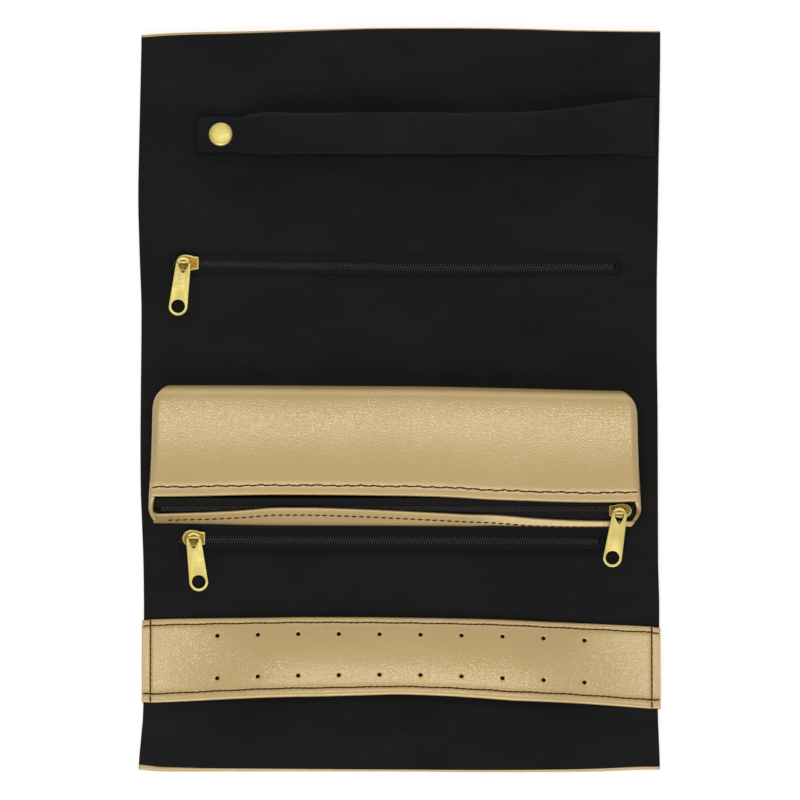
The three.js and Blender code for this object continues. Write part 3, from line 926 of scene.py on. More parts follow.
@dataclass(frozen=True)
class Window:
    """The opening in the lining over a flat pocket's zip."""

    body: str
    bag: str
    y: float
    left: float
    right: float
    half: float = 5.5 * MM

    def holds(self, point: Vector) -> bool:
        """Says whether a point of the lining lies in the opening."""
        return self.left < point.x < self.right and abs(point.y - self.y) < self.half


UPPER_WINDOW = Window("zip_panel", "upper_pocket_bag", 67.4 * MM, -111.8 * MM, 107.8 * MM)
LOWER_WINDOW = Window("pouch_panel", "lower_pocket_bag", -70.4 * MM, -108.3 * MM, 100 * MM)


@dataclass
class Roll:
    """The folding body: leather cover, foam, black lining and the two flat pockets' bags."""

    bench: Workbench
    outline: Outline = field(default_factory=Outline)
    windows: tuple[Window, ...] = (UPPER_WINDOW, LOWER_WINDOW)
    leather: float = 1.1 * MM
    turned_up: float = 5 * MM
    lining_thickness: float = 0.42 * MM
    lining_sides: float = 0.15 * MM
    lining_ends: float = 0.35 * MM
    lining_edge: float = 1.6 * MM
    lip_fade: float = 8 * MM
    edge_drop: float = 0.3 * MM
    hollow: float = 0.22 * MM
    deepest_hollow: float = 0.3 * MM
    cover_step: float = 7 * MM
    foam_step: float = 14 * MM
    lining_step: float = 4.5 * MM
    far_lip: Knots = in_mm((-126, 1.2), (-60, 0.9), (0, 0.5), (126, 0.6))
    near_lip: Knots = in_mm((-126, 1.8), (-90, 0.8), (0, 0.2), (60, 0.3), (126, 0.8))
    foam_floor: float = 1.25 * MM
    foam_half: float = 123.2 * MM
    foam_ends: float = 3.2 * MM
    foam_top: float = 3.5 * MM
    foam_under_pocket: float = 2.3 * MM
    pockets_start: Span = (-103 * MM, -92 * MM)
    pockets_end: Span = (73 * MM, 79 * MM)
    bag_thickness: float = 0.22 * MM
    bag_middle: float = 2.75 * MM
    bag_margin: float = 0.8 * MM
    bag_turn: float = 1.2 * MM
    bag_pinch: float = 9 * MM
    wall: Knots = in_mm(
        (1.2, 0), (0.4, 0.2), (0.05, 0.9), (0.05, 3.2), (0.25, 3.75), (0.8, 4), (2.6, 3.95),
    )
    folds: tuple[Fold, ...] = (
        Fold("near", "earring_panel", "pouch_panel", ("earring_panel",),
             -97.5 * MM, 5 * MM, -185 * MM, -40.75 * MM),
        Fold("pouch", "pouch_panel", "zip_panel", ("pouch_panel",),
             16 * MM, 7 * MM, -40.75 * MM, 46 * MM),
        Fold("pocket", "zip_panel", "ring_panel", ("zip_panel",),
             76 * MM, 3 * MM, 46 * MM, 116 * MM),
        Fold("far", "ring_panel", "top_flap", ("ring_panel", "top_flap"),
             156 * MM, 6 * MM, 116 * MM, 185 * MM),
    )

    def build(self) -> None:
        """Builds every sheet of the body."""
        for fold in self.folds:
            self.cover(fold)
            self.foam(fold)
            self.lining(fold)
        for window in self.windows:
            self.pocket_bag(window)

    def cover(self, fold: Fold) -> None:
        """Builds a stretch of the leather cover, turned up round the edges."""
        rise = len(self.wall) - 1
        half = self.outline.half_width
        flat = half - self.wall[0][0]
        inner = stations((-flat, flat, self.cover_step))
        across = [(-1, k) for k in range(rise, 0, -1)] + [(x, 0) for x in inner]
        across += [(1, k) for k in range(1, rise + 1)]
        near_end = fold.low <= -self.outline.end
        far_end = fold.high >= self.outline.end
        low = fold.low + (self.wall[0][0] if near_end else 0)
        high = fold.high - (self.wall[0][0] if far_end else 0)
        along = [(y, 0) for y in fold.lines(low, high)]
        if near_end:
            along = [(-1, k) for k in range(rise, 0, -1)] + along
        if far_end:
            along += [(1, k) for k in range(1, rise + 1)]

        def place(u: tuple[float, int], v: tuple[float, int]) -> Vector:
            """Finds a point of the tray from its steps up the two walls."""
            step = max(u[1], v[1])
            inset, height = self.wall[step]
            x_reach = half - inset
            y_reach = self.outline.end - inset
            x = u[0] * x_reach if u[1] else max(-x_reach, min(x_reach, u[0]))
            y = v[0] * y_reach if v[1] else max(-y_reach, min(y_reach, v[0]))
            return self.outline.fit(Vector((x, y, height)))

        mesh = ruled(across, along, place)
        merge(mesh)
        turn_over(mesh)
        piece = self.bench.emit(f"cover_{fold.name}", mesh, Finish.LEATHER, sharp=70)
        thicken(piece, self.leather)
        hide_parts(*(f"cover_{node}" for node in fold.nodes))
        fold.bend(piece)

    def foam_height(self, y: float) -> float:
        """Gives the foam's top, lower where a flat pocket lies on it."""
        pocketed = ease(*self.pockets_start, y) - ease(*self.pockets_end, y)
        return self.foam_top - (self.foam_top - self.foam_under_pocket) * pocketed

    def foam(self, fold: Fold) -> None:
        """Builds a stretch of foam between the cover and the lining."""
        reach = self.outline.end - self.foam_ends
        low = max(fold.low, -reach)
        high = min(fold.high, reach)

        def place(x: float, y: float) -> Vector:
            """Finds a point of the foam's top."""
            return self.outline.fit(Vector((x, y, self.foam_height(y))))

        across = stations((-self.foam_half, self.foam_half, self.foam_step))
        mesh = ruled(across, fold.lines(low, high), place)
        for vertex in doubled(mesh):
            vertex.co.z = self.foam_floor
        weld(mesh)
        piece = self.bench.emit(f"foam_{fold.name}", mesh, Finish.FOAM)
        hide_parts(*(f"padding_{node}" for node in fold.nodes))
        fold.bend(piece)

    def lining_height(self, x: float, y: float) -> float:
        """Gives the lining's top, with shallow hollows of soft cloth and a turned-down edge."""
        soft = noise.noise(Vector((x * 26, y * 38, 0.3))) + 0.5 * noise.noise(Vector((x * 70, y * 90, 4)))
        hollow = self.hollow * (0.5 + 0.5 * soft)
        edge = ease(self.outline.half_width - self.lining_edge, self.outline.half_width, abs(x))
        return LINING_TOP - min(hollow, self.deepest_hollow) - self.edge_drop * edge

    def lining(self, fold: Fold) -> None:
        """Builds a stretch of lining, cut open over a pocket's zip."""
        half = self.outline.half_width - self.lining_sides
        reach = self.outline.end - self.lining_ends
        low = max(fold.low, -reach)
        high = min(fold.high, reach)
        opened = [window for window in self.windows if fold.low < window.y < fold.high]
        marks_y = [window.y + side * window.half for window in opened for side in (-1, 1)]
        marks_x = [end for window in opened for end in (window.left, window.right)]
        inner = half - self.lining_edge
        step = self.lining_edge / 2
        plain = stations((-half, -inner, step), (-inner, inner, self.lining_step), (inner, half, step))

        def place(x: float, y: float) -> Vector:
            """Finds a point of the lining's top, which stops short of the leather's lip."""
            fade = ease(reach - self.lip_fade, reach, abs(y))
            lip = follow(self.far_lip if y > 0 else self.near_lip, x) * fade
            return self.outline.fit(Vector((x, y - math.copysign(lip, y), self.lining_height(x, y))))

        mesh = ruled(with_marks(plain, marks_x), fold.lines(low, high, *marks_y), place)
        holes = [face for face in mesh.faces if any(w.holds(face.calc_center_median()) for w in opened)]
        bmesh.ops.delete(mesh, geom=holes, context="FACES")
        piece = self.bench.emit(f"lining_{fold.name}", mesh, Finish.LINING)
        thicken(piece, self.lining_thickness)
        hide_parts(*(f"lining_{node}" for node in fold.nodes))
        fold.bend(piece)

    def pocket_bag(self, window: Window) -> None:
        """Builds the cloth bag of a flat pocket, one piece folded round from tape to tape."""
        low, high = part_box(window.bag)
        near = low.y + self.bag_margin
        far = high.y - self.bag_margin
        turn = self.bag_turn
        slit = window.half + 0.3 * MM
        tack = slit + 4 * MM
        upper, bend, lower, floor = 3.2 * MM, 2.9 * MM, 2.65 * MM, 2.6 * MM
        mouth = upper + 0.1 * MM
        loop = (
            (window.y + slit, mouth), (window.y + tack, upper), (far - turn, upper), (far, bend),
            (far - turn, lower), (window.y, floor), (near + turn, lower),
            (near, bend), (near + turn, upper), (window.y - tack, upper), (window.y - slit, mouth),
        )
        across = stations((low.x + 1 * MM, high.x - 1 * MM, 8 * MM))

        def place(x: float, index: int) -> Vector:
            """Finds a point of the bag, pinched flat at its two side seams."""
            y, height = loop[index]
            opened = ease(0, self.bag_pinch, min(x - across[0], across[-1] - x))
            return Vector((x, y, self.bag_middle + (height - self.bag_middle) * opened))

        mesh = ruled(across, range(len(loop)), place)
        piece = self.bench.emit(f"{window.bag}_cloth", mesh, Finish.LINING)
        thicken(piece, self.bag_thickness, offset=0)
        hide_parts(window.bag)
        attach(piece, window.body)


def rounded(
    corners: Sequence[tuple[float, float, float]], runs: Sequence[int], turns: int = 5
) -> Section:
    """Draws a path in a section with rounded corners.

    Args:
        corners: Triples of Y, Z and corner radius, in order; the two ends take no radius.
        runs: Number of steps in each straight run between two corners.
        turns: Number of steps round each corner.

    Returns:
        The points of the path.
    """
    points = [Vector(corners[0][:2])]

    def run_to(target: Vector, count: int) -> None:
        """Adds even steps up to a point."""
        start = points[-1]
        points.extend([start.lerp(target, (index + 1) / count) for index in range(count)])

    for before, corner, after, count in zip(corners, corners[1:], corners[2:], runs):
        here = Vector(corner[:2])
        back = (Vector(before[:2]) - here).normalized()
        ahead = (Vector(after[:2]) - here).normalized()
        opening = back.angle(ahead)
        trim = corner[2] / math.tan(opening / 2)
        centre = here + (back + ahead).normalized() * corner[2] / math.sin(opening / 2)
        run_to(here + back * trim, count)
        turn = math.pi - opening
        first = here + back * trim - centre
        last = here + ahead * trim - centre
        for index in range(1, turns + 1):
            share = index / turns
            swing = math.sin((1 - share) * turn) * first + math.sin(share * turn) * last
            points.append(centre + swing / math.sin(turn))
    run_to(Vector(corners[-1][:2]), runs[-1])
    return [(point.x, point.y) for point in points]


def bowed_normals(points: Points) -> list[Vector]:
    """Gives the direction to the left of travel at each point of a section path."""
    result = []
    for index in range(len(points)):
        before = Vector(points[max(0, index - 1)])
        after = Vector(points[min(len(points) - 1, index + 1)])
        ahead = (after - before).normalized()
        result.append(Vector((-ahead.y, ahead.x)))
    return result


@dataclass
class Pouch:
    """The leather pouch: top leather, lip, two ends and lining, open along a zipped front."""

    bench: Workbench
    left: float = -122.0 * MM
    right: float = 117.0 * MM
    leather: float = 1.1 * MM
    hem_y: float = -51.6 * MM
    hem_depth: float = 2.2 * MM
    hem_turn: float = 4.5 * MM
    hem_seam: float = 4.75 * MM
    crest: float = -12 * MM
    curve: float = 3.5
    zip_line: Vector = Vector((POUCH_ZIP_Y, POUCH_ZIP_Z))
    lip_depth: float = 1.55 * MM
    lip_leather_thickness: float = 0.6 * MM
    lip_turn: float = 0.65 * MM
    toe: Vector = Vector((-64.4, 4.62)) * MM
    end_front: float = -61.56 * MM
    end_leather_thickness: float = 0.9 * MM
    end_depth: float = 70 * MM
    end_wrap: int = 8
    belly: float = 1.2 * MM
    back: float = 3.6 * MM
    top: float = 22.9 * MM
    shoulder: float = 8.5 * MM
    back_curve: float = 5.5
    floor: float = 4.62 * MM
    foot_turn: float = 2.4 * MM
    down: Vector = Vector((-0.6842, -0.7293))
    out: Vector = Vector((-0.7293, 0.6842))
    end_round: float = 3.4 * MM
    end_roll_run: Span = (2 * MM, 14 * MM)
    hem_roll: float = 0.3
    drawn_in: float = 0.9 * MM
    drawn_run: Span = (-50 * MM, -8 * MM)
    back_corner: float = -11 * MM
    back_corner_depth: float = 15.8 * MM
    back_corner_round: float = 9 * MM
    front_corner: float = -56 * MM
    front_corner_depth: float = 8.6 * MM
    front_corner_round: float = 5 * MM
    hem_start: float = 2.6 * MM
    seam_dip: float = 0.32 * MM
    seam_width: float = 0.7 * MM
    slack: float = 0.22 * MM
    slumping: Span = (6.62 * MM, 15 * MM)
    front_run: Span = (10 * MM, 48 * MM)
    lip_clear: float = 0.15 * MM
    coil_clear: float = 1.0 * MM
    coil_run: Span = (2 * MM, 3.2 * MM)
    lip_tail: Span = (0.8 * MM, 3.6 * MM)
    lip_reach: float = 7.4 * MM
    lining_thickness: float = 0.35 * MM
    lining_rise: float = 1.2 * MM
    lining_clear: float = 0.9 * MM
    corner_run: float = 14 * MM
    hem_stitch_count: int = 74
    hem_stitch: float = 3.9 * MM
    stitch_width: float = 0.85 * MM
    lip_stitch_count: int = 61
    lip_stitch: float = 2.7 * MM
    lip_stitch_width: float = 0.8 * MM
    fixed_height: float = 11.4 * MM
    lifted_height: float = 14.6 * MM
    hem_drop: Knots = in_mm(
        (-122, 0.5), (-60, -0.4), (0, 0.1), (20, 0.6), (49, 2.2), (98, 3.4), (117, 3),
    )
    back_shift: Knots = in_mm((-122, 0.6), (0, 0.1), (49, -0.7), (98, -1.9), (117, -2.2))
    lip_drop: Knots = in_mm(
        (-122, 1.8), (-115, 1.6), (-98, 1), (-78, -0.2), (-59, -1.9), (-46, -1.9), (-29, -1.4),
        (10, 0.7), (49, 3.3), (69, 5.3), (93, 6.5), (117, 6.8),
    )
    toe_shift: Knots = in_mm((-122, 0.3), (-60, -1.3), (0, -1.6), (49, -1.9), (117, -2.2))

    def build(self) -> None:
        """Builds the pouch's leather, lining and stitches."""
        self.top_leather()
        self.lip_leather()
        for name, side in (("left", -1), ("right", 1)):
            self.end_leather(name, side)
        self.inner_lining()
        self.hem_stitches()
        self.lip_stitches()

    def columns(self, left: float, right: float) -> list[float]:
        """Lists grid lines along X, close together at both ends."""
        rim, corner = 1.2 * MM, 6 * MM
        finest, fine, plain = 0.4 * MM, 0.8 * MM, 4 * MM
        return stations(
            (left, left + rim, finest), (left + rim, left + corner, fine),
            (left + corner, right - corner, plain), (right - corner, right - rim, fine),
            (right - rim, right, finest),
        )

    def end_at(self, side: int, y: float) -> float:
        """Gives the X where the leather ends at the left, -1, or the right, 1, drawn in to the back."""
        plain = self.left if side < 0 else self.right
        return plain - side * (self.rounded_in(y) + self.turned_in(y))

    def rounded_in(self, y: float) -> float:
        """Gives how far the ends are drawn in and rounded at the pouch's back corners."""
        drawn = self.drawn_in * ease(*self.drawn_run, y)
        return drawn + self.back_corner_round * arc_share((y - self.back_corner) / self.back_corner_depth)

    def turned_in(self, y: float) -> float:
        """Gives how far the ends are rounded in at the pouch's front corners."""
        return self.front_corner_round * arc_share((self.front_corner - y) / self.front_corner_depth)

    def roll(self, y: float) -> float:
        """Gives how far the top leather rolls over at its two ends, least at the hem."""
        grown = ease(*self.end_roll_run, y - self.hem_y)
        return self.end_round * (self.hem_roll + (1 - self.hem_roll) * grown)

    def settle(self, x: float, y: float, z: float) -> Vector:
        """Moves a point of the even section to the pouch's slightly slumped shape."""
        raised = ease(*self.slumping, z)
        front = ease(*self.front_run, -y)
        slump = follow(self.back_shift, x) * (1 - front) - follow(self.hem_drop, x) * front
        soft = noise.noise(Vector((x * 22, y * 34, z * 30))) * self.slack
        return Vector((x, y + slump * max(raised, 1 - front), z + soft * raised))

    def crown(self, y: float) -> float:
        """Gives the height of the top, which falls in a curve from its crest and dips at the seam."""
        dip = self.seam_dip * dent(y - self.hem_y - self.hem_seam, self.seam_width)
        bend = self.curve if y < self.crest else self.back_curve
        return self.top - bend * (y - self.crest) ** 2 - dip

    def hem(self) -> tuple[Vector, Vector, Vector]:
        """Gives the hem's edge, the way down the leather there and the way out of it."""
        down = Vector((-1, 2 * self.curve * (self.hem_y - self.crest))).normalized()
        return Vector((self.hem_y, self.crown(self.hem_y))), down, Vector((down.y, -down.x))

    def top_path(self) -> Section:
        """Draws the section of the top leather, from the turned hem over the top to the foot."""
        edge, down, out = self.hem()
        under = edge - out * self.hem_depth
        turn = self.hem_depth * 0.48
        start = self.hem_y + self.hem_start
        inner = under - down * self.hem_turn
        corners = ((*inner, 0), (*under, turn), (*edge, turn), (start, self.crown(start), 0))
        return rounded(corners, (2, 1, 1)) + self.crown_path(start)[1:]

    def crown_path(self, start: float) -> Section:
        """Draws the section from a place on the hem over the crest and down the back."""
        seam = self.hem_y + self.hem_seam
        end = self.back - self.shoulder - 1.5 * MM
        before = seam - 0.9 * MM
        after = seam + 0.9 * MM
        lines = stations((start, before, 0.9 * MM), (before, after, 0.45 * MM), (after, end, 2.2 * MM))
        level = self.crown(end)
        fall = 2 * self.back_curve * (end - self.crest) * (self.back - end)
        corners = (
            (end, level, 0), (self.back, level - fall, self.shoulder), (self.back, self.floor, 0.9 * MM),
            (self.back - self.foot_turn, self.floor, 0),
        )
        return [(y, self.crown(y)) for y in lines[:-1]] + rounded(corners, (1, 3, 1), 8)

    def top_leather(self) -> None:
        """Builds the sheet over the front, top and back."""
        path = self.top_path()
        normals = bowed_normals(path)
        columns = self.columns(self.left, self.right)

        def place(x: float, index: int) -> Vector:
            """Finds a point of the leather, rolled over at both ends."""
            y, z = path[index]
            radius = self.roll(y) * (0.1 + 0.9 * ease(self.floor + 1 * MM, self.floor + 6 * MM, z))
            depth = max(0.0, radius - min(x - self.left, self.right - x))
            inward = normals[index] * (math.sqrt(max(0.0, radius ** 2 - depth ** 2)) - radius)
            side = -1 if x < 0 else 1
            plain = self.left if side < 0 else self.right
            pull = (self.end_at(side, y) - plain) * ease(0.2, 1.0, abs(x) / abs(plain))
            point = self.settle(x, y, z)
            return point + Vector((pull, inward.x, inward.y))

        mesh = ruled(columns, range(len(path)), place)
        piece = self.bench.emit("pouch_top_leather", mesh, Finish.LEATHER, Finish.LINING, sharp=80)
        thicken(piece, self.leather, inside=1)
        length = sum((Vector(b) - Vector(a)).length for a, b in zip(path, path[1:]))
        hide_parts("pouch_front")
        self.hinge(piece)

    def hinge(self, piece: Piece) -> None:
        """Bakes a piece's placement into its mesh; the piece does not open with the pouch's mouth."""
        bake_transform(piece)

    def lip_edge(self, x: float) -> Vector:
        """Gives the lip's turned edge in the section at one place along X, raised over the coil."""
        drop = follow(self.lip_drop, x)
        over = self.lip_clear + self.coil_clear * (1 - ease(*self.coil_run, drop)) + self.lip_depth
        return self.zip_line + self.down * drop + self.out * over

    def lip_toe(self, x: float) -> Vector:
        """Gives the foot of the lip in the section at one place along X."""
        return self.toe + Vector((follow(self.toe_shift, x), 0))

    def lip_path(self, x: float) -> Section:
        """Draws the section of the lip at one place along X, from its turned edge to its tail."""
        edge = self.lip_edge(x)
        inner = edge - self.out * self.lip_depth
        shortest, longest = self.lip_tail
        tail = max(shortest, min(longest, self.lip_reach - follow(self.lip_drop, x)))
        toe_round = 1.4 * MM - 0.7 * MM * ease(20 * MM, 90 * MM, x)
        corners = (
            (*(inner + self.down * tail), 0), (*inner, self.lip_turn), (*edge, self.lip_turn),
            (*self.lip_toe(x), toe_round), (0.5 * MM, self.toe.y, 0),
        )
        return rounded(corners, (2, 1, 5, 12))

    def lip_leather(self) -> None:
        """Builds the lip below the zip and the base that it is cut with."""
        left = self.left - 0.2 * MM
        right = self.right - 0.2 * MM
        columns = self.columns(left, right)
        paths = {x: self.lip_path(x) for x in columns}
        steps = len(paths[left])

        def place(x: float, index: int) -> Vector:
            """Finds a point of the lip, rounded in at its two ends."""
            y, z = paths[x][index]
            nearest = min(x - left, right - x)
            near = 1 - ease(0, self.corner_run, nearest)
            tuck = 1.2 * MM * (1 - ease(0, 4 * MM, nearest)) * ease(5 * MM, 9 * MM, z)
            corner = self.rounded_in(y) + 0.5 * MM * ease(-20 * MM, -8 * MM, y)
            inward = math.copysign((self.turned_in(y) + corner) * near, -x)
            return Vector((x + inward, y + tuck, max(z - tuck, self.toe.y)))

        mesh = ruled(columns, range(steps), place)
        merge(mesh)
        turn_over(mesh)
        piece = self.bench.emit("pouch_lip_leather", mesh, Finish.LEATHER, Finish.LINING, sharp=80)
        thicken(piece, self.lip_leather_thickness, inside=1)
        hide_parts("pouch_back")
        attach(piece, "pouch_panel")

    def end_leather(self, name: str, side: int) -> None:
        """Builds one end of the pouch, which bellies out and wraps round the end of the zip.

        Args:
            name: Name of the end.
            side: -1 for the left end, 1 for the right end.
        """
        path = self.crown_path(self.hem_y + self.hem_start)
        tucked = [
            Vector(point) - normal * (self.roll(point[0]) - 0.9 * MM)
            for point, normal in zip(path, bowed_normals(path)) if point[1] > 9 * MM
        ]
        edge, down, out = self.hem()
        crest = tucked[::-2] + [edge - down * 1.2 * MM - out * self.hem_depth / 2]
        count = len(crest)
        back = self.back - self.end_leather_thickness

        def place(index: int, share: float) -> Vector:
            """Finds a point of the end, from back to front and from base to top."""
            along = min(index, count - 1)
            run = along / (count - 1)
            base = Vector((back + (self.end_front - back) * run, self.floor + 1.15 * MM))
            y, z = base.lerp(crest[along], share)
            belly = self.belly * math.sin(math.pi * share) ** 0.8 * ease(0.35, 1.0, run)
            outer = y + 2.5 * MM * ease(-8 * MM, 1 * MM, y)
            point = self.settle(self.end_at(side, outer) + side * (belly - 0.35 * MM), y, z)
            angle = math.radians(165) * max(0, index - count + 1) / self.end_wrap
            lift = self.belly * math.sin(angle) * (1 - ease(0.75, 1.0, share))
            inward = side * self.belly * (math.cos(angle) - 1)
            return point + Vector((inward, self.out.x * lift, self.out.y * lift))

        mesh = ruled(range(count + self.end_wrap), stations((0, 1, 0.09)), place)
        if side > 0:
            turn_over(mesh)
        finishes = (Finish.LEATHER, Finish.LINING, Finish.EDGE)
        piece = self.bench.emit(f"pouch_end_{name}_leather", mesh, *finishes, sharp=80)
        thicken(piece, self.end_leather_thickness, rim=2, inside=1)
        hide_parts(f"pouch_end_{name}")
        self.hinge(piece)

    def inner_lining(self) -> None:
        """Builds the lining on the pouch's base, turned up a little along its edges."""
        low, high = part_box("pouch_lining")

        def place(x: float, y: float) -> Vector:
            """Finds a point of the lining."""
            nearest = min(x - low.x, high.x - x)
            rise = self.lining_rise * (1 - ease(0, 5 * MM, min(nearest, y - low.y, high.y - y)))
            soft = 0.25 * MM * (0.5 + 0.5 * noise.noise(Vector((x * 40, y * 40, 2))))
            inward = math.copysign(self.rounded_in(y) * (1 - ease(0, self.corner_run, nearest)), -x)
            clear = self.lining_clear * ease(self.crest, 0, y)
            return self.settle(x, y - clear, high.z + rise + soft) + Vector((inward, 0, 0))

        across = stations((low.x, high.x, 5 * MM))
        along = stations((low.y, high.y, 3 * MM))
        piece = self.bench.emit("pouch_lining_cloth", ruled(across, along, place), Finish.LINING)
        thicken(piece, self.lining_thickness)
        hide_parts("pouch_lining")
        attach(piece, "pouch_panel")

    def hem_stitches(self) -> None:
        """Sews the turned hem above the zip with a slightly wavy row of brown thread."""

        def path(share: float) -> tuple[Vector, Vector]:
            """Finds a point of the row on the leather."""
            x = self.left + 1.2 * MM + (self.right - self.left - 2.4 * MM) * share
            wave = 0.16 * MM * math.sin(x * 900) + 0.12 * MM * math.sin(x * 260)
            y = self.hem_y + self.hem_seam + wave
            return self.settle(x, y, self.crown(y)), Vector((0, *self.hem()[2]))

        row = sew(path, self.hem_stitch_count, self.hem_stitch, self.stitch_width)
        piece = self.bench.emit("pouch_hem_stitches", row, Finish.THREAD, slot="leather")
        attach(piece, "pouch_flap")

    def lip_stitches(self) -> None:
        """Sews the lip's turned edge."""

        def path(share: float) -> tuple[Vector, Vector]:
            """Finds a point of the row on the lip."""
            x = self.left + 8 * MM + (self.right - self.left - 20 * MM) * share
            edge = self.lip_edge(x)
            toe = self.lip_toe(x)
            spot = edge.lerp(toe, min(0.6, 3.9 * MM / (toe - edge).length))
            return Vector((x, spot.x, spot.y)), Vector((0, self.out.x, self.out.y))

        row = sew(path, self.lip_stitch_count, self.lip_stitch, self.lip_stitch_width, slant=4)
        piece = self.bench.emit("pouch_lip_stitches", row, Finish.THREAD, slot="leather")
        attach(piece, "pouch_panel")


@dataclass
class EarringStrip:
    """The arched leather strip pierced with two rows of holes for earrings."""

    bench: Workbench
    half_length: float = 127.1 * MM
    half_width: float = 21 * MM
    centre: float = -133 * MM
    arch_half: float = 121.5 * MM
    arch: float = 6 * MM
    bow: float = 2.5 * MM
    slant: float = 3 * MM
    top: float = 6.2 * MM
    leather: float = 1.15 * MM
    hole: float = 1.0 * MM
    hole_rows: tuple[float, float] = (-10.0 * MM, 11.6 * MM)
    hole_pitch: float = 20 * MM
    holes_in_row: int = 10
    far_stitch: float = 17.7 * MM
    near_stitch: float = 16.4 * MM
    seam: float = 122.9 * MM
    camber: float = 1.3 * MM
    tilt: float = 0.13
    level_half: float = 45 * MM
    twist_half: float = 60 * MM
    right_narrow: float = 0.035
    middle_narrow: float = 0.012
    end_narrow: float = 0.02
    end_drop: float = 0.12 * MM
    slack: float = 0.2 * MM
    left_pull: float = 1.1 * MM
    stitch_dip: float = 0.42 * MM
    seam_dip: float = 0.3 * MM
    dip_width: float = 0.6 * MM
    stitch_width: float = 0.85 * MM
    long_stitches: int = 78
    end_stitches: int = 13
    backing_thickness: float = 0.25 * MM
    backing_gap: float = 0.1 * MM
    rim: Knots = in_mm((0, -0.85), (0.5, -0.25), (1.4, 0.1), (2.4, 0.16), (3.6, 0))
    near_pull: Knots = in_mm(
        (-127.5, 0), (-90, 0.2), (-46, 0.4), (-15, 1.2), (0, 1.7), (22, 1.3), (40, 0.5), (58, -0.3),
        (85, -0.2), (105, -0.4), (127.5, -0.9),
    )

    def build(self) -> None:
        """Builds the strip, its backing and its stitches."""
        self.leather_strip()
        self.backing()
        self.stitches()

    def draw(self, point: Vector) -> Vector:
        """Bends a point of the flat strip to the sewn shape.

        Args:
            point: X and Y on the flat strip, and Z above its good side.

        Returns:
            The point on the arched and bowed strip.
        """
        x = max(-self.half_length, min(self.half_length, point.x))
        over = abs(point.x) - self.half_length
        middle = 1 - ease(self.level_half, self.arch_half, abs(x))
        twist = 1 - ease(self.twist_half, self.arch_half - 3 * MM, abs(x))
        rise = self.arch * middle - self.tilt * point.y * twist
        ends = ease(self.arch_half, self.half_length, abs(x))
        stitch = self.far_stitch if point.y > 0 else self.near_stitch
        crown = self.camber * twist * (point.y / stitch) ** 2
        crown += self.stitch_dip * dent(abs(point.y) - stitch, self.dip_width)
        crown -= follow(self.rim, self.half_width - abs(point.y))
        crown += self.seam_dip * dent(abs(x) - self.seam, self.dip_width) + self.end_drop * ends
        narrow = 1 - self.right_narrow * ease(30 * MM, self.half_length, x)
        narrow -= self.middle_narrow * middle + self.end_narrow * ends
        along = x / self.half_length
        line = self.centre + self.bow * (1 - along ** 2) - self.slant * along / 2
        line += follow(self.near_pull, x) * max(0.0, -point.y / self.half_width)
        soft = self.slack * noise.noise(Vector((x * 24, point.y * 24, 7)))
        height = self.top + rise - crown + soft + point.z - max(0.0, over)
        drawn = x + self.left_pull * ease(0, self.half_length, -x)
        return Vector((drawn, line + point.y * narrow, height))

    def leather_strip(self) -> None:
        """Builds the pierced leather, turned down at both ends."""
        rows = (
            -21, -20.5, -19.6, -18.6, -17.4, -16.9, -16.4, -15.9, -15.2, -12.5, -10, -7.5, -5, -2.5, 0, 3, 6,
            9.1, 11.6, 14.1, 15.9, 17.1, 17.7, 18.3, 18.9, 19.7, 20.5, 21,
        )
        along = [row * MM for row in rows]
        turned = [0.35 * MM, 1.0 * MM]
        inner = stations((-120 * MM, 120 * MM, 2.5 * MM))
        sewn = [self.seam + step * MM for step in (-1.6, -0.7, 0, 0.7, 1.6)]
        tips = [self.half_length - 1.2 * MM, self.half_length - 0.4 * MM, self.half_length]
        ends = sewn + tips + [self.half_length + step for step in turned]
        across = [-x for x in reversed(ends)] + inner + ends
        mesh = ruled(across, along, lambda x, y: Vector((x, y, 0)))
        for index in range(self.holes_in_row):
            x = (index - (self.holes_in_row - 1) / 2) * self.hole_pitch
            for y in self.hole_rows:
                self.pierce(mesh, Vector((x, y, 0)))
        for vertex in mesh.verts:
            vertex.co = self.draw(vertex.co)
        finishes = (Finish.LEATHER, Finish.LINING, Finish.EDGE)
        piece = self.bench.emit("earring_strip_leather", mesh, *finishes, sharp=80)
        thicken(piece, self.leather, rim=2, inside=1)
        refine(piece)
        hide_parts("earring_strip")
        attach(piece, "earring_panel")

    def pierce(self, mesh: Mesh, centre: Vector) -> None:
        """Opens a punched hole at a crossing of the flat strip's grid."""
        middle = min(mesh.verts, key=lambda vertex: (vertex.co - centre).length)
        spot = middle.co.copy()
        around = [edge for face in middle.link_faces for edge in face.edges if middle not in edge.verts]
        bmesh.ops.delete(mesh, geom=[middle], context="VERTS")
        rim = [edge for edge in around if edge.is_valid]
        for share, depth in ((1.75, 0.0), (1.12, -0.12 * MM), (1.0, -0.45 * MM)):
            radius = self.hole * share
            grown = bmesh.ops.extrude_edge_only(mesh, edges=rim)["geom"]
            rim = [item for item in grown if isinstance(item, bmesh.types.BMEdge) and item.is_boundary]
            for vertex in dict.fromkeys(vertex for edge in rim for vertex in edge.verts):
                ray = Vector((vertex.co.x - spot.x, vertex.co.y - spot.y, 0)).normalized()
                vertex.co = spot + ray * radius + Vector((0, 0, depth))

    def backing(self) -> None:
        """Builds the cloth that backs the leather."""
        low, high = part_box("earring_strip_backing")
        shrink = 0.6 * MM
        across = stations((low.x + shrink, high.x - shrink, 6 * MM))
        along = stations((-self.half_width + 1.5 * MM, self.half_width - 1.5 * MM, 4 * MM))

        def place(x: float, y: float) -> Vector:
            """Finds a point of the backing, close under the leather."""
            return self.draw(Vector((x, y, -self.leather - self.backing_gap)))

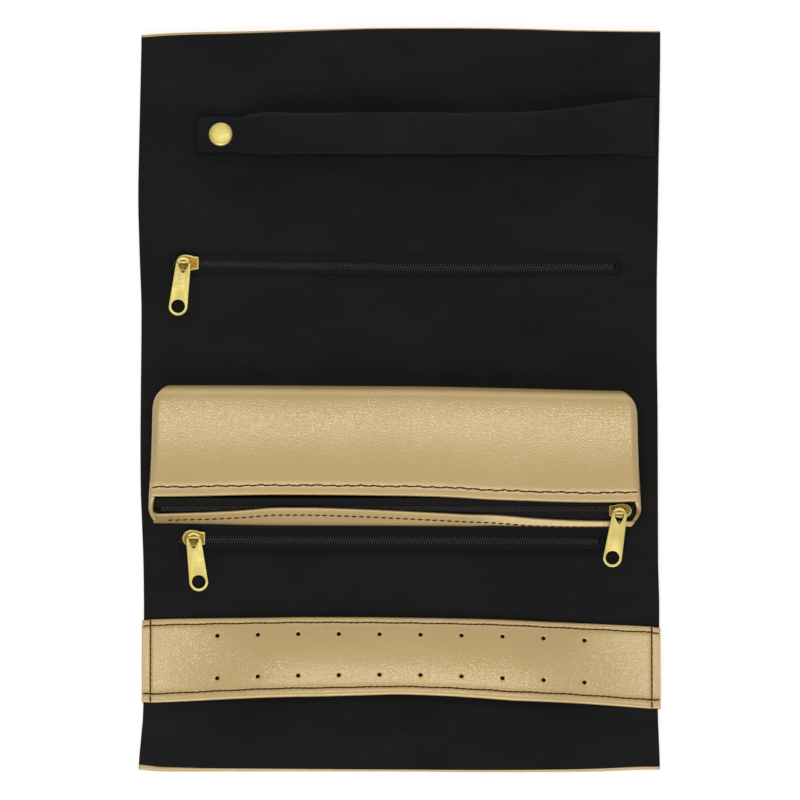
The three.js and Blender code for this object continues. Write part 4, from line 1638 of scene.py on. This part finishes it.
        piece = self.bench.emit("earring_strip_backing_cloth", ruled(across, along, place), Finish.LINING)
        thicken(piece, self.backing_thickness)
        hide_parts("earring_strip_backing")
        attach(piece, "earring_panel")

    def stitches(self) -> None:
        """Sews the strip along both long edges and across both ends."""
        reach = self.half_length - 0.6 * MM
        tip = self.half_width - 0.4 * MM
        sides = (-self.near_stitch, self.far_stitch)
        ends = (-self.seam, self.seam)
        runs = [((-reach, y), (reach, y), self.long_stitches) for y in sides]
        runs += [((x, -tip), (x, tip), self.end_stitches) for x in ends]
        rows = [self.row(Vector((*start, 0)), Vector((*stop, 0)), count) for start, stop, count in runs]
        piece = self.bench.emit("earring_strip_stitches", gathered(rows), Finish.THREAD, slot="leather")
        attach(piece, "earring_panel")

    def row(self, start: Vector, stop: Vector, count: int) -> Mesh:
        """Sews one run on the flat strip's line."""

        def path(share: float) -> tuple[Vector, Vector]:
            """Finds a point of the run on the arched leather."""
            flat = start.lerp(stop, share)
            flat.y += 0.12 * MM * math.sin(flat.x * 330)
            return self.draw(flat), Vector((0, 0, 1))

        pitch = (stop - start).length / count
        return sew(path, count, pitch * 1.22, self.stitch_width)


@dataclass
class RingBar:
    """The padded bar that rings slide on, sewn in at one end and held by a snap at the other."""

    bench: Workbench
    axis: float = 131.5 * MM
    snap_x: float = -88 * MM
    snap_lean: float = 3.0
    sewn_bend: Span = (118 * MM, 107.5 * MM)
    slack: float = 0.45 * MM
    pleat: float = 0.32 * MM
    width: Knots = in_mm(
        (-100, 14.5), (-98.5, 17.2), (-95, 18), (-80, 18), (-73, 19.2), (-64, 20.2), (40, 20),
        (80, 22.5), (112.6, 27.5), (125.5, 30),
    )
    base: Knots = in_mm((-100, 7.15), (-81, 7.15), (-71, 4.9), (112, 4.8), (118, 4.6))
    height: Knots = in_mm(
        (-100, 1.2), (-98.5, 1.6), (-80, 1.6), (-73.5, 8), (-64, 12.2), (60, 12.5), (112.6, 6.2),
        (119, 3), (125.5, 1.6),
    )
    rise: Knots = in_mm((60, 0), (112.6, 3.8), (125.5, 4.5))

    def build(self) -> None:
        """Builds the bar and the four parts of its snap."""
        self.padded_bar()
        self.snap()

    def padded_bar(self) -> None:
        """Builds the stuffed cloth tube, its flat tab and its sewn end as one piece."""
        sides = 36
        along = stations(
            (-100 * MM, -98.5 * MM, 0.5 * MM), (-98.5 * MM, -80 * MM, 3 * MM), (-80 * MM, -60 * MM, 1 * MM),
            (-60 * MM, 100 * MM, 3 * MM), (100 * MM, 119 * MM, 1 * MM), (119 * MM, 125.5 * MM, 1.3 * MM),
        )

        def place(index: int, x: float) -> Vector:
            """Finds a point of the tube from its turn and its place along X."""
            angle = 2 * math.pi * index / sides
            wide = follow(self.width, x)
            tall = follow(self.height, x)
            sine = math.copysign(abs(math.sin(angle)) ** 0.72, math.sin(angle))
            cosine = math.copysign(abs(math.cos(angle)) ** 0.8, math.cos(angle))
            stuffed = ease(3 * MM, 9 * MM, tall)
            gather = ease(-78 * MM, -72 * MM, x) * (1 - ease(-68 * MM, -46 * MM, x))
            soft = noise.noise(Vector((x * 42, math.cos(angle) * 1.3, math.sin(angle) * 1.3))) * self.slack
            pleat = self.pleat * gather * math.sin(angle * 9 + 0.7)
            swell = 1 + stuffed * (soft + pleat) / (tall / 2 + 3 * MM)
            y = self.axis + follow(self.rise, x) + wide / 2 * cosine * swell
            lifted = 0.5 + 0.5 * sine * (swell if sine > 0 else 1)
            return Vector((x, y, follow(self.base, x) + tall * lifted))

        mesh = ruled(range(sides + 1), along, place)
        close_tube(mesh)
        piece = self.bench.emit("ring_bar_padded", mesh, Finish.LINING, sharp=60)
        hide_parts("ring_bar_cover", "ring_bar_core", "ring_bar_tab", "ring_bar_anchor")
        fixed, free = self.sewn_bend
        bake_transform(piece)

    def snap(self) -> None:
        """Turns the snap's cap, socket, stud and rivet."""
        parts = (
            ("snap_cap", "ring_bar", 8.75, (
                (0, 1.6), (1.8, 1.59), (3.8, 1.53), (4.8, 1.38), (5.4, 1.1), (5.8, 0.74), (5.97, 0.36),
                (5.9, 0.1), (5.6, 0), (0, 0),
            )),
            ("snap_socket", "ring_bar", 5.6, (
                (2.5, 0.25), (2.7, 0), (4.4, 0), (4.85, 0.15), (5.0, 0.5), (5.0, 1.3), (4.8, 1.55),
                (3.4, 1.55), (3.2, 1.2), (2.6, 1.1), (2.5, 0.9), (2.5, 0.25),
            )),
            ("snap_stud", "ring_panel", 4.5, (
                (0, 0), (4.6, 0), (4.95, 0.15), (5.0, 0.4), (4.7, 0.72), (2.6, 0.8), (2.0, 1.0), (1.75, 1.4),
                (2.1, 1.7), (2.18, 2.0), (1.9, 2.3), (1.2, 2.4), (0, 2.4),
            )),
            ("snap_rivet", "ring_panel", 3.2, (
                (0, 0), (3.9, 0.05), (4.4, 0.25), (4.45, 0.5), (4.1, 0.72), (1.6, 0.76), (0, 0.76),
            )),
        )
        for node, body, height, profile in parts:
            centre = Vector((self.snap_x, self.axis, height * MM))
            mesh = spun([(radius * MM, rise * MM) for radius, rise in profile], centre, 48)
            if node == "snap_cap":
                lean = Matrix.Rotation(math.radians(self.snap_lean), 3, "X")
                bmesh.ops.rotate(mesh, cent=centre, matrix=lean, verts=mesh.verts)
            piece = self.bench.emit(f"{node}_turned", mesh, Finish.GOLD, sharp=32)
            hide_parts(node)
            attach(piece, body)


class Nose(Enum):
    """The side that a slider's closed nose points to."""

    LEFT = -1
    RIGHT = 1


def ring_points(centre: Span, radius: float, start: float, end: float, steps: int) -> Section:
    """Lists points along an arc between two angles in degrees, both ends included."""
    angles = [math.radians(start + (end - start) * index / steps) for index in range(steps + 1)]
    return [(centre[0] + radius * math.cos(a), centre[1] + radius * math.sin(a)) for a in angles]


def pierced_plate(outline: Points, holes: Sequence[Points], thickness: float) -> Mesh:
    """Cuts a flat plate with holes.

    Args:
        outline: Corners of the outer edge, in order.
        holes: Corners of each hole, in order.
        thickness: Thickness of the plate, half of it on each side of the plane.

    Returns:
        The new closed bmesh.
    """
    mesh = bmesh.new()
    edges = []
    for loop in (outline, *holes):
        corners = [mesh.verts.new((x, y, -thickness / 2)) for x, y in loop]
        edges += [mesh.edges.new(pair) for pair in zip(corners, corners[1:] + corners[:1])]
    bmesh.ops.triangle_fill(mesh, use_beauty=True, use_dissolve=False, edges=edges, normal=(0, 0, 1))
    return raise_plate(mesh, thickness)


def swept_bar(path: Sequence[Vector], half_width: float, half_height: float, sides: int = 12) -> Mesh:
    """Draws a round-edged bar along a path in a plane of X and Z.

    Args:
        path: Points that the bar's middle follows.
        half_width: Half of its size along Y.
        half_height: Half of its size across the path.
        sides: Number of faces round.

    Returns:
        The new closed bmesh.
    """
    count = len(path)

    def place(index: int, step: int) -> Vector:
        """Finds a point of the bar's skin."""
        ahead = (path[min(count - 1, step + 1)] - path[max(0, step - 1)]).normalized()
        across = Vector((-ahead.z, 0, ahead.x))
        angle = 2 * math.pi * index / sides
        beside = Vector((0, half_width * math.cos(angle), 0))
        return path[step] + beside + across * half_height * math.sin(angle)

    mesh = ruled(range(sides + 1), range(count), place)
    close_tube(mesh)
    return mesh


@dataclass
class Zipper:
    """A coil zip with its tapes, slider and pull, drawn flat and then set in place."""

    bench: Workbench
    name: str
    far_body: str
    near_body: str
    slider_body: str
    pull_body: str
    y: float
    z: float
    tilt: float
    left: float
    right: float
    tape_tuck: float
    nose: Nose
    slider_x: float
    crown_x: float
    lean: float
    crown_top: float
    tape_far: float = 7.2 * MM
    tape_near: float = 7.2 * MM
    pitch: float = 1.22 * MM
    coil_reach: float = 1.9 * MM
    coil_height: float = 0.95 * MM
    crown_height: float = 3.8 * MM
    pull_length: float = 26.5 * MM
    pull_tip: float = 4.65 * MM
    pull_hole: float = 3.3 * MM
    pull_thickness: float = 1.15 * MM
    pull_sag: float = 1.2 * MM
    pull_gap: float = 0.3 * MM
    stop_length: float = 2 * MM
    stop_near_only: bool = False
    tape_thickness: float = 0.42 * MM
    tape_parked: Span = (82 * MM, 92 * MM)
    coil_inner: float = -0.42 * MM
    coil_wire: float = 0.29 * MM
    coil_lean: float = 14.0
    stop_half: float = 1.8 * MM
    stop_height: float = 1.4 * MM
    slider_half: float = 4.2 * MM
    slider_top: float = 1.2 * MM
    slider_plate: float = 0.95 * MM
    dish_rim: float = 0.75 * MM
    dish_depth: float = 0.4 * MM
    eye_half: float = 3.7 * MM
    rim_round: float = 0.24 * MM
    sway: Knots = ((-1.0, 0.0), (1.0, 0.0))

    def build(self) -> None:
        """Builds every part of the zip."""
        self.tapes()
        self.coils()
        self.end_stop()
        self.slider()
        self.pull()

    def pull_angle(self) -> float:
        """Gives the angle at which the pull's tip rests on the lining."""
        return math.asin((self.crown_top - LINING_TOP - self.pull_gap - self.pull_sag) / self.pull_length)

    def set_in(self, mesh: Mesh) -> None:
        """Moves a flat-drawn bmesh to the zip's place."""
        frame = Matrix.Translation((0, self.y, self.z)) @ Matrix.Rotation(self.tilt, 4, "X")
        bmesh.ops.transform(mesh, matrix=frame, verts=mesh.verts)

    def tapes(self) -> None:
        """Builds the two woven tapes."""
        across = stations((self.left - self.tape_tuck, self.right + self.tape_tuck, 4 * MM))
        for side, name, reach, body in (
            (1, "far", self.tape_far, self.far_body), (-1, "near", self.tape_near, self.near_body),
        ):
            lines = [0.3 * MM, 0.45 * MM, 1.2 * MM, 2.2 * MM, 2.6 * MM, 4 * MM, reach - 0.4 * MM, reach]

            def place(x: float, index: int, sign: int = side, rows: list[float] = lines) -> Vector:
                """Finds a point of one tape, with a low rib by the coil and clear of the parked slider."""
                rib = 0.1 * MM if index in (3, 4) else 0.0
                parked = ease(*self.tape_parked, x) if sign > 0 else 0.0
                drift = follow(self.sway, x) * (1 - parked) * (1 - rows[index] / rows[-1])
                return Vector((x, sign * rows[index] + drift, rib - 0.02 * MM))

            mesh = ruled(across, range(len(lines)), place)
            if side < 0:
                turn_over(mesh)
            self.set_in(mesh)
            piece = self.bench.emit(f"{self.name}_tape_{name}_woven", mesh, Finish.TAPE)
            thicken(piece, self.tape_thickness)
            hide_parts(f"{self.name}_tape_{name}")
            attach(piece, body)

    def coils(self) -> None:
        """Builds the two rows of interlocking loops."""
        stop = self.stop_length + 0.3 * MM
        low = self.left + (stop if self.nose is Nose.RIGHT else 0.4 * MM)
        high = self.right - (stop if self.nose is Nose.LEFT else 0.4 * MM)
        count = int((high - low) / self.pitch)
        for side, name, body in ((1, "far", self.far_body), (-1, "near", self.near_body)):
            mesh = bmesh.new()
            for index in range(count):
                x = low + (index + (0.5 if side > 0 else 0.0) + 0.25) * self.pitch
                self.loop(mesh, x, side)
            face_outwards(mesh)
            self.set_in(mesh)
            piece = self.bench.emit(f"{self.name}_coil_{name}_loops", mesh, Finish.COIL, sharp=70)
            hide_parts(f"{self.name}_coil_{name}")
            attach(piece, body)

    def loop(self, mesh: Mesh, x: float, side: int) -> None:
        """Adds one loop of the coil, a slim grain that leans along the zip."""
        drift = follow(self.sway, x)
        middle = Vector((x, side * (self.coil_reach + self.coil_inner) / 2 + drift, self.coil_height * 0.52))
        depth = (self.coil_reach - self.coil_inner) / 2
        size = Matrix.Diagonal((self.coil_wire, depth, self.coil_height * 0.5, 1))
        turn = Matrix.Rotation(side * math.radians(self.coil_lean), 4, "Z")
        bmesh.ops.create_uvsphere(
            mesh, u_segments=6, v_segments=4, radius=1,
            matrix=Matrix.Translation(middle) @ turn @ size @ Matrix.Rotation(math.pi / 2, 4, "X"),
        )

    def end_stop(self) -> None:
        """Builds the small black clip at the coil's open end."""
        at = self.left if self.nose is Nose.RIGHT else self.right - self.stop_length
        high = -0.45 * MM if self.stop_near_only else self.stop_half
        low = -self.stop_half
        outline = [(at, low), (at + self.stop_length, low), (at + self.stop_length, high), (at, high)]
        mesh = outline_plate(outline, self.stop_height)
        shift(mesh, (0, follow(self.sway, at), 0.03 * MM))
        round_rims(mesh, 0.45 * MM, 3)
        self.set_in(mesh)
        piece = self.bench.emit(f"{self.name}_end_stop_clip", mesh, Finish.TAPE, slot="coil")
        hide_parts(f"{self.name}_end_stop")
        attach(piece, self.near_body)

    def slider(self) -> None:
        """Builds the slider: a dished top plate, side flanges, bottom plate, neck and crown."""
        way = self.nose.value
        shoulder = (1.3 * MM, self.slider_half)
        nose = ring_points((shoulder[0], 0), self.slider_half, -90, 90, 14)
        tail = [(-1.2 * MM, 3.95 * MM), (-2.9 * MM, 3.3 * MM), (-5.1 * MM, 3.15 * MM), (-5.5 * MM, 2.85 * MM)]
        outline = nose + tail + [(x, -y) for x, y in reversed(tail)]
        top = outline_plate(outline, self.slider_plate)
        face = max(top.faces, key=lambda item: item.calc_center_median().z)
        bmesh.ops.inset_region(top, faces=[face], thickness=self.dish_rim, use_even_offset=True)
        bmesh.ops.translate(top, verts=face.verts, vec=(0, 0, -self.dish_depth))
        # The dish takes the darker gold: painted shade and painted reflection in the recess.
        face.material_index = 1
        round_rims(top, 0.2 * MM, 3, 35)
        shift(top, (0, 0, self.slider_top))
        outer = [shoulder, *tail[:2]]
        flank = outer + [(x, y * 0.8) for x, y in reversed(outer)]
        flanges = []
        for side in (-1, 1):
            flange = outline_plate([(x, side * y) for x, y in flank], 1.1 * MM)
            shift(flange, (0, 0, 0.22 * MM))
            round_rims(flange, 0.15 * MM, 2)
            flanges.append(flange)
        sole = outline_plate([(x * 0.8, y * 0.7) for x, y in outline], 0.4 * MM)
        shift(sole, (0, 0, -1.1 * MM))
        round_rims(sole, 0.12 * MM, 2)
        wedge = [(4.2 * MM, 0), (3.2 * MM, 0.25 * MM), (1.6 * MM, 0), (3.2 * MM, -0.25 * MM)]
        neck = outline_plate(wedge, 2.2 * MM)
        shift(neck, (0, 0, -0.9 * MM))
        whole = gathered([top, *flanges, sole, neck])
        if way < 0:
            bmesh.ops.scale(whole, vec=(-1, 1, 1), verts=whole.verts)
            face_outwards(whole)
        shift(whole, (self.slider_x, 0, 0))
        both = gathered([whole, self.crown()])
        self.set_in(both)
        piece = self.bench.emit(f"{self.name}_slider_cast", both, Finish.GOLD, Finish.RECESS, sharp=34)
        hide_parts(f"{self.name}_slider")
        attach(piece, self.slider_body)

    def crown(self) -> Mesh:
        """Draws the low arch over the slider that holds the pull."""
        top = self.crown_height + 0.15 * MM
        rising = [(-3.35, 1.7 * MM), (-3.3, 2.7 * MM), (-2.9, top - 0.3 * MM), (-2.2, top)]
        knots = rising + [(0, top + 0.08 * MM)] + [(-x, z) for x, z in reversed(rising)]
        path = [Vector((self.crown_x + x * MM, 0, z)) for x, z in knots]
        return swept_bar(path, 0.62 * MM, 0.5 * MM)

    def pull(self) -> None:
        """Builds the pull: a long blade with a teardrop eye over the crown and a round hole."""
        tip_y = -(self.pull_length - self.pull_tip)
        outline = ring_points((0, -1.0 * MM), self.eye_half, 0, 180, 14)
        outline += ring_points((self.lean, tip_y), self.pull_tip, 183, 357, 22)
        hole = ring_points((self.lean, tip_y), self.pull_hole, 0, 348, 29)
        eye = ring_points((0, -1.1 * MM), 2.3 * MM, -12, 192, 14)
        eye += [(-1.3 * MM, -3.8 * MM), (-0.4 * MM, -5.2 * MM), (0.4 * MM, -5.2 * MM), (1.3 * MM, -3.8 * MM)]
        mesh = pierced_plate(outline, (hole, eye), self.pull_thickness)
        round_rims(mesh, self.rim_round, 3)
        for vertex in mesh.verts:
            sink = ease(-5.5 * MM, -1.5 * MM, vertex.co.y)
            vertex.co.z = vertex.co.z * (1 - 0.3 * sink) - 0.75 * MM * sink
        turn = Matrix.Rotation(self.pull_angle() - self.tilt, 4, "X")
        hung = Matrix.Translation((self.crown_x, 0, self.crown_height)) @ turn
        bmesh.ops.transform(mesh, matrix=hung, verts=mesh.verts)
        self.set_in(mesh)
        piece = self.bench.emit(f"{self.name}_pull_blade", mesh, Finish.GOLD, sharp=34)
        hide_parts(f"{self.name}_pull")
        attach(piece, self.pull_body)


@dataclass(frozen=True)
class Lamp:
    """A soft rectangular lamp that points at the case."""

    name: str
    place: tuple[float, float, float]
    size: Span
    power: float
    mirrored: bool = True

    def hang(self) -> None:
        """Adds the lamp, unseen by the camera."""
        light = bpy.data.lights.new(self.name, "AREA")
        light.shape = "RECTANGLE"
        light.size, light.size_y = self.size
        light.energy = self.power
        lamp = bpy.data.objects.new(self.name, light)
        lamp.location = self.place
        lamp.rotation_euler = (-Vector(self.place)).to_track_quat("-Z", "Y").to_euler()
        lamp.visible_camera = False
        lamp.visible_glossy = self.mirrored
        bpy.context.scene.collection.objects.link(lamp)


@dataclass
class Studio:
    """The pale floor, soft lights and camera."""

    distance: float = 8.0
    elevation: float = 78.0
    frame_width: float = 0.392
    sensor: float = 36.0
    room_light: float = 0.22
    floor_glow: float = 0.6
    floor_grey: float = 0.82
    floor_drop: float = 0.2 * MM
    lamps: tuple[Lamp, ...] = (
        Lamp("overhead", (0, 0.16, 1.5), (0.8, 0.3), 1.85),
        Lamp("overhead_strip", (0, 0.27, 1.5), (0.8, 0.05), 0.85),
        Lamp("front", (-0.1, -1.3, 1.1), (1.2, 1.1), 10.2),
        Lamp("rear", (0, 1.3, 0.8), (1.0, 0.5), 1.6),
        Lamp("back", (0, 2.0, 0.25), (1.4, 0.3), 10.0, mirrored=False),
    )

    def build(self) -> None:
        """Sets up everything round the case."""
        scene = bpy.context.scene
        scene.view_settings.view_transform = "Standard"
        self.floor()
        self.world(scene)
        for lamp in self.lamps:
            lamp.hang()
        self.camera(scene)

    def floor(self) -> None:
        """Lays the pale floor, which looks white and keeps the case's shadow."""
        mesh = bmesh.new()
        bmesh.ops.create_grid(mesh, x_segments=8, y_segments=8, size=4)
        shift(mesh, (0, 0, -self.floor_drop))
        data = bpy.data.meshes.new("floor")
        mesh.to_mesh(data)
        mesh.free()
        floor = bpy.data.objects.new("floor", data)
        bpy.context.scene.collection.objects.link(floor)
        material = bpy.data.materials.new("pale_floor")
        material.use_nodes = True
        tree = material.node_tree
        shader = tree.nodes["Principled BSDF"]
        shader.inputs["Base Color"].default_value = (self.floor_grey,) * 3 + (1,)
        shader.inputs["Roughness"].default_value = 0.9
        shader.inputs["Specular IOR Level"].default_value = 0.1
        shader.inputs["Emission Color"].default_value = (1, 1, 1, 1)
        tree.links.new(self.seen(tree, 0.0, self.floor_glow), shader.inputs["Emission Strength"])
        data.materials.append(material)

    @staticmethod
    def seen(tree: bpy.types.NodeTree, hidden: float, shown: float) -> Socket:
        """Gives one strength to rays that see the surroundings and another to the rest.

        Args:
            tree: The node tree to add to.
            hidden: Strength for rays that only carry light.
            shown: Strength for rays from the camera, in reflections and through glass.

        Returns:
            The strength.
        """
        path = tree.nodes.new("ShaderNodeLightPath")
        total = path.outputs["Is Camera Ray"]
        for name in ("Is Glossy Ray", "Is Transmission Ray"):
            join = tree.nodes.new("ShaderNodeMath")
            join.operation = "MAXIMUM"
            tree.links.new(total, join.inputs[0])
            tree.links.new(path.outputs[name], join.inputs[1])
            total = join.outputs[0]
        spread = tree.nodes.new("ShaderNodeMapRange")
        spread.inputs["To Min"].default_value = hidden
        spread.inputs["To Max"].default_value = shown
        tree.links.new(total, spread.inputs["Value"])
        return spread.outputs["Result"]

    def world(self, scene: bpy.types.Scene) -> None:
        """Makes the even white surroundings."""
        world = bpy.data.worlds.new("white_room")
        world.use_nodes = True
        tree = world.node_tree
        background = tree.nodes["Background"]
        background.inputs["Color"].default_value = (1, 1, 1, 1)
        tree.links.new(self.seen(tree, self.room_light, 1.0), background.inputs["Strength"])
        scene.world = world

    def camera(self, scene: bpy.types.Scene) -> None:
        """Sets the camera far back with a long lens, as the picture was taken."""
        lens = bpy.data.cameras.new("camera")
        lens.sensor_width = self.sensor
        lens.lens = self.sensor * self.distance / self.frame_width
        lens.clip_end = 60
        camera = bpy.data.objects.new("camera", lens)
        angle = math.radians(self.elevation)
        back = Vector((0, -math.cos(angle), math.sin(angle)))
        camera.location = back * self.distance
        camera.rotation_euler = (-back).to_track_quat("-Z", "Y").to_euler()
        scene.collection.objects.link(camera)
        scene.camera = camera


def pocket_zip(bench: Workbench, name: str, window: Window, **sizes: object) -> Zipper:
    """Sets a zip in the opening of a flat pocket.

    Args:
        bench: Where its finishes are kept.
        name: Which pocket, upper or lower.
        window: The opening in the lining.
        sizes: Places of its slider and crown, its pull's lean and its coil's sway.

    Returns:
        The zip, still to be built.
    """
    return Zipper(
        bench, f"{name}_zip", window.body, window.body, f"{name}_slider", f"{name}_pull",
        y=window.y, z=4.0 * MM, tilt=0.0, left=window.left, right=window.right, tape_tuck=5 * MM,
        nose=Nose.LEFT, crown_top=7.8 * MM, **sizes,
    )


def zippers(bench: Workbench) -> list[Zipper]:
    """Lists the three zips of the case."""
    upper_sway = in_mm(
        (-108, 0), (-80, -0.3), (-55, -0.9), (-20, -1.2), (0, -1.8), (50, -2.1), (80, -1.8),
        (108, -1.4),
    )
    lower_sway = in_mm((-104, -0.2), (-80, -0.4), (0, -0.6), (80, -0.8), (100, -1.3))
    return [
        pocket_zip(bench, "upper", UPPER_WINDOW, slider_x=-104.3 * MM, crown_x=-106.3 * MM,
                   lean=-2.5 * MM, sway=upper_sway),
        pocket_zip(bench, "lower", LOWER_WINDOW, slider_x=-100.8 * MM, crown_x=-100.8 * MM,
                   lean=2.5 * MM, sway=lower_sway),
        Zipper(
            bench, "pouch_zip", "pouch_flap", "pouch_panel", "pouch_slider", "pouch_pull",
            y=POUCH_ZIP_Y, z=POUCH_ZIP_Z, tilt=math.radians(46.83), left=-119.1 * MM, right=115.2 * MM,
            tape_tuck=1.6 * MM, nose=Nose.RIGHT, slider_x=107.7 * MM, crown_x=107.2 * MM, lean=-3.4 * MM,
            crown_top=13.299 * MM, tape_far=6.2 * MM, tape_near=6.9 * MM, stop_near_only=True,
        ),
    ]


def dress_magnets(bench: Workbench, nodes: dict[str, Piece]) -> None:
    """Gives the two hidden magnets, found by name among the solids, their steel finish."""
    for name in ("closure_magnet_panel", "closure_magnet_flap"):
        for slot in nodes[name].material_slots:
            slot.material = bench.material(Finish.STEEL)


def main() -> None:
    """Builds the case's sub-assemblies in order."""
    logging.basicConfig(level=logging.INFO, format="%(name)s %(message)s")
    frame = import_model()
    bench = Workbench()
    Studio().build()
    Roll(bench).build()
    Pouch(bench).build()
    EarringStrip(bench).build()
    RingBar(bench).build()
    for zipper in zippers(bench):
        zipper.build()
    dress_magnets(bench, frame["nodes"])


if __name__ == "__main__":
    main()
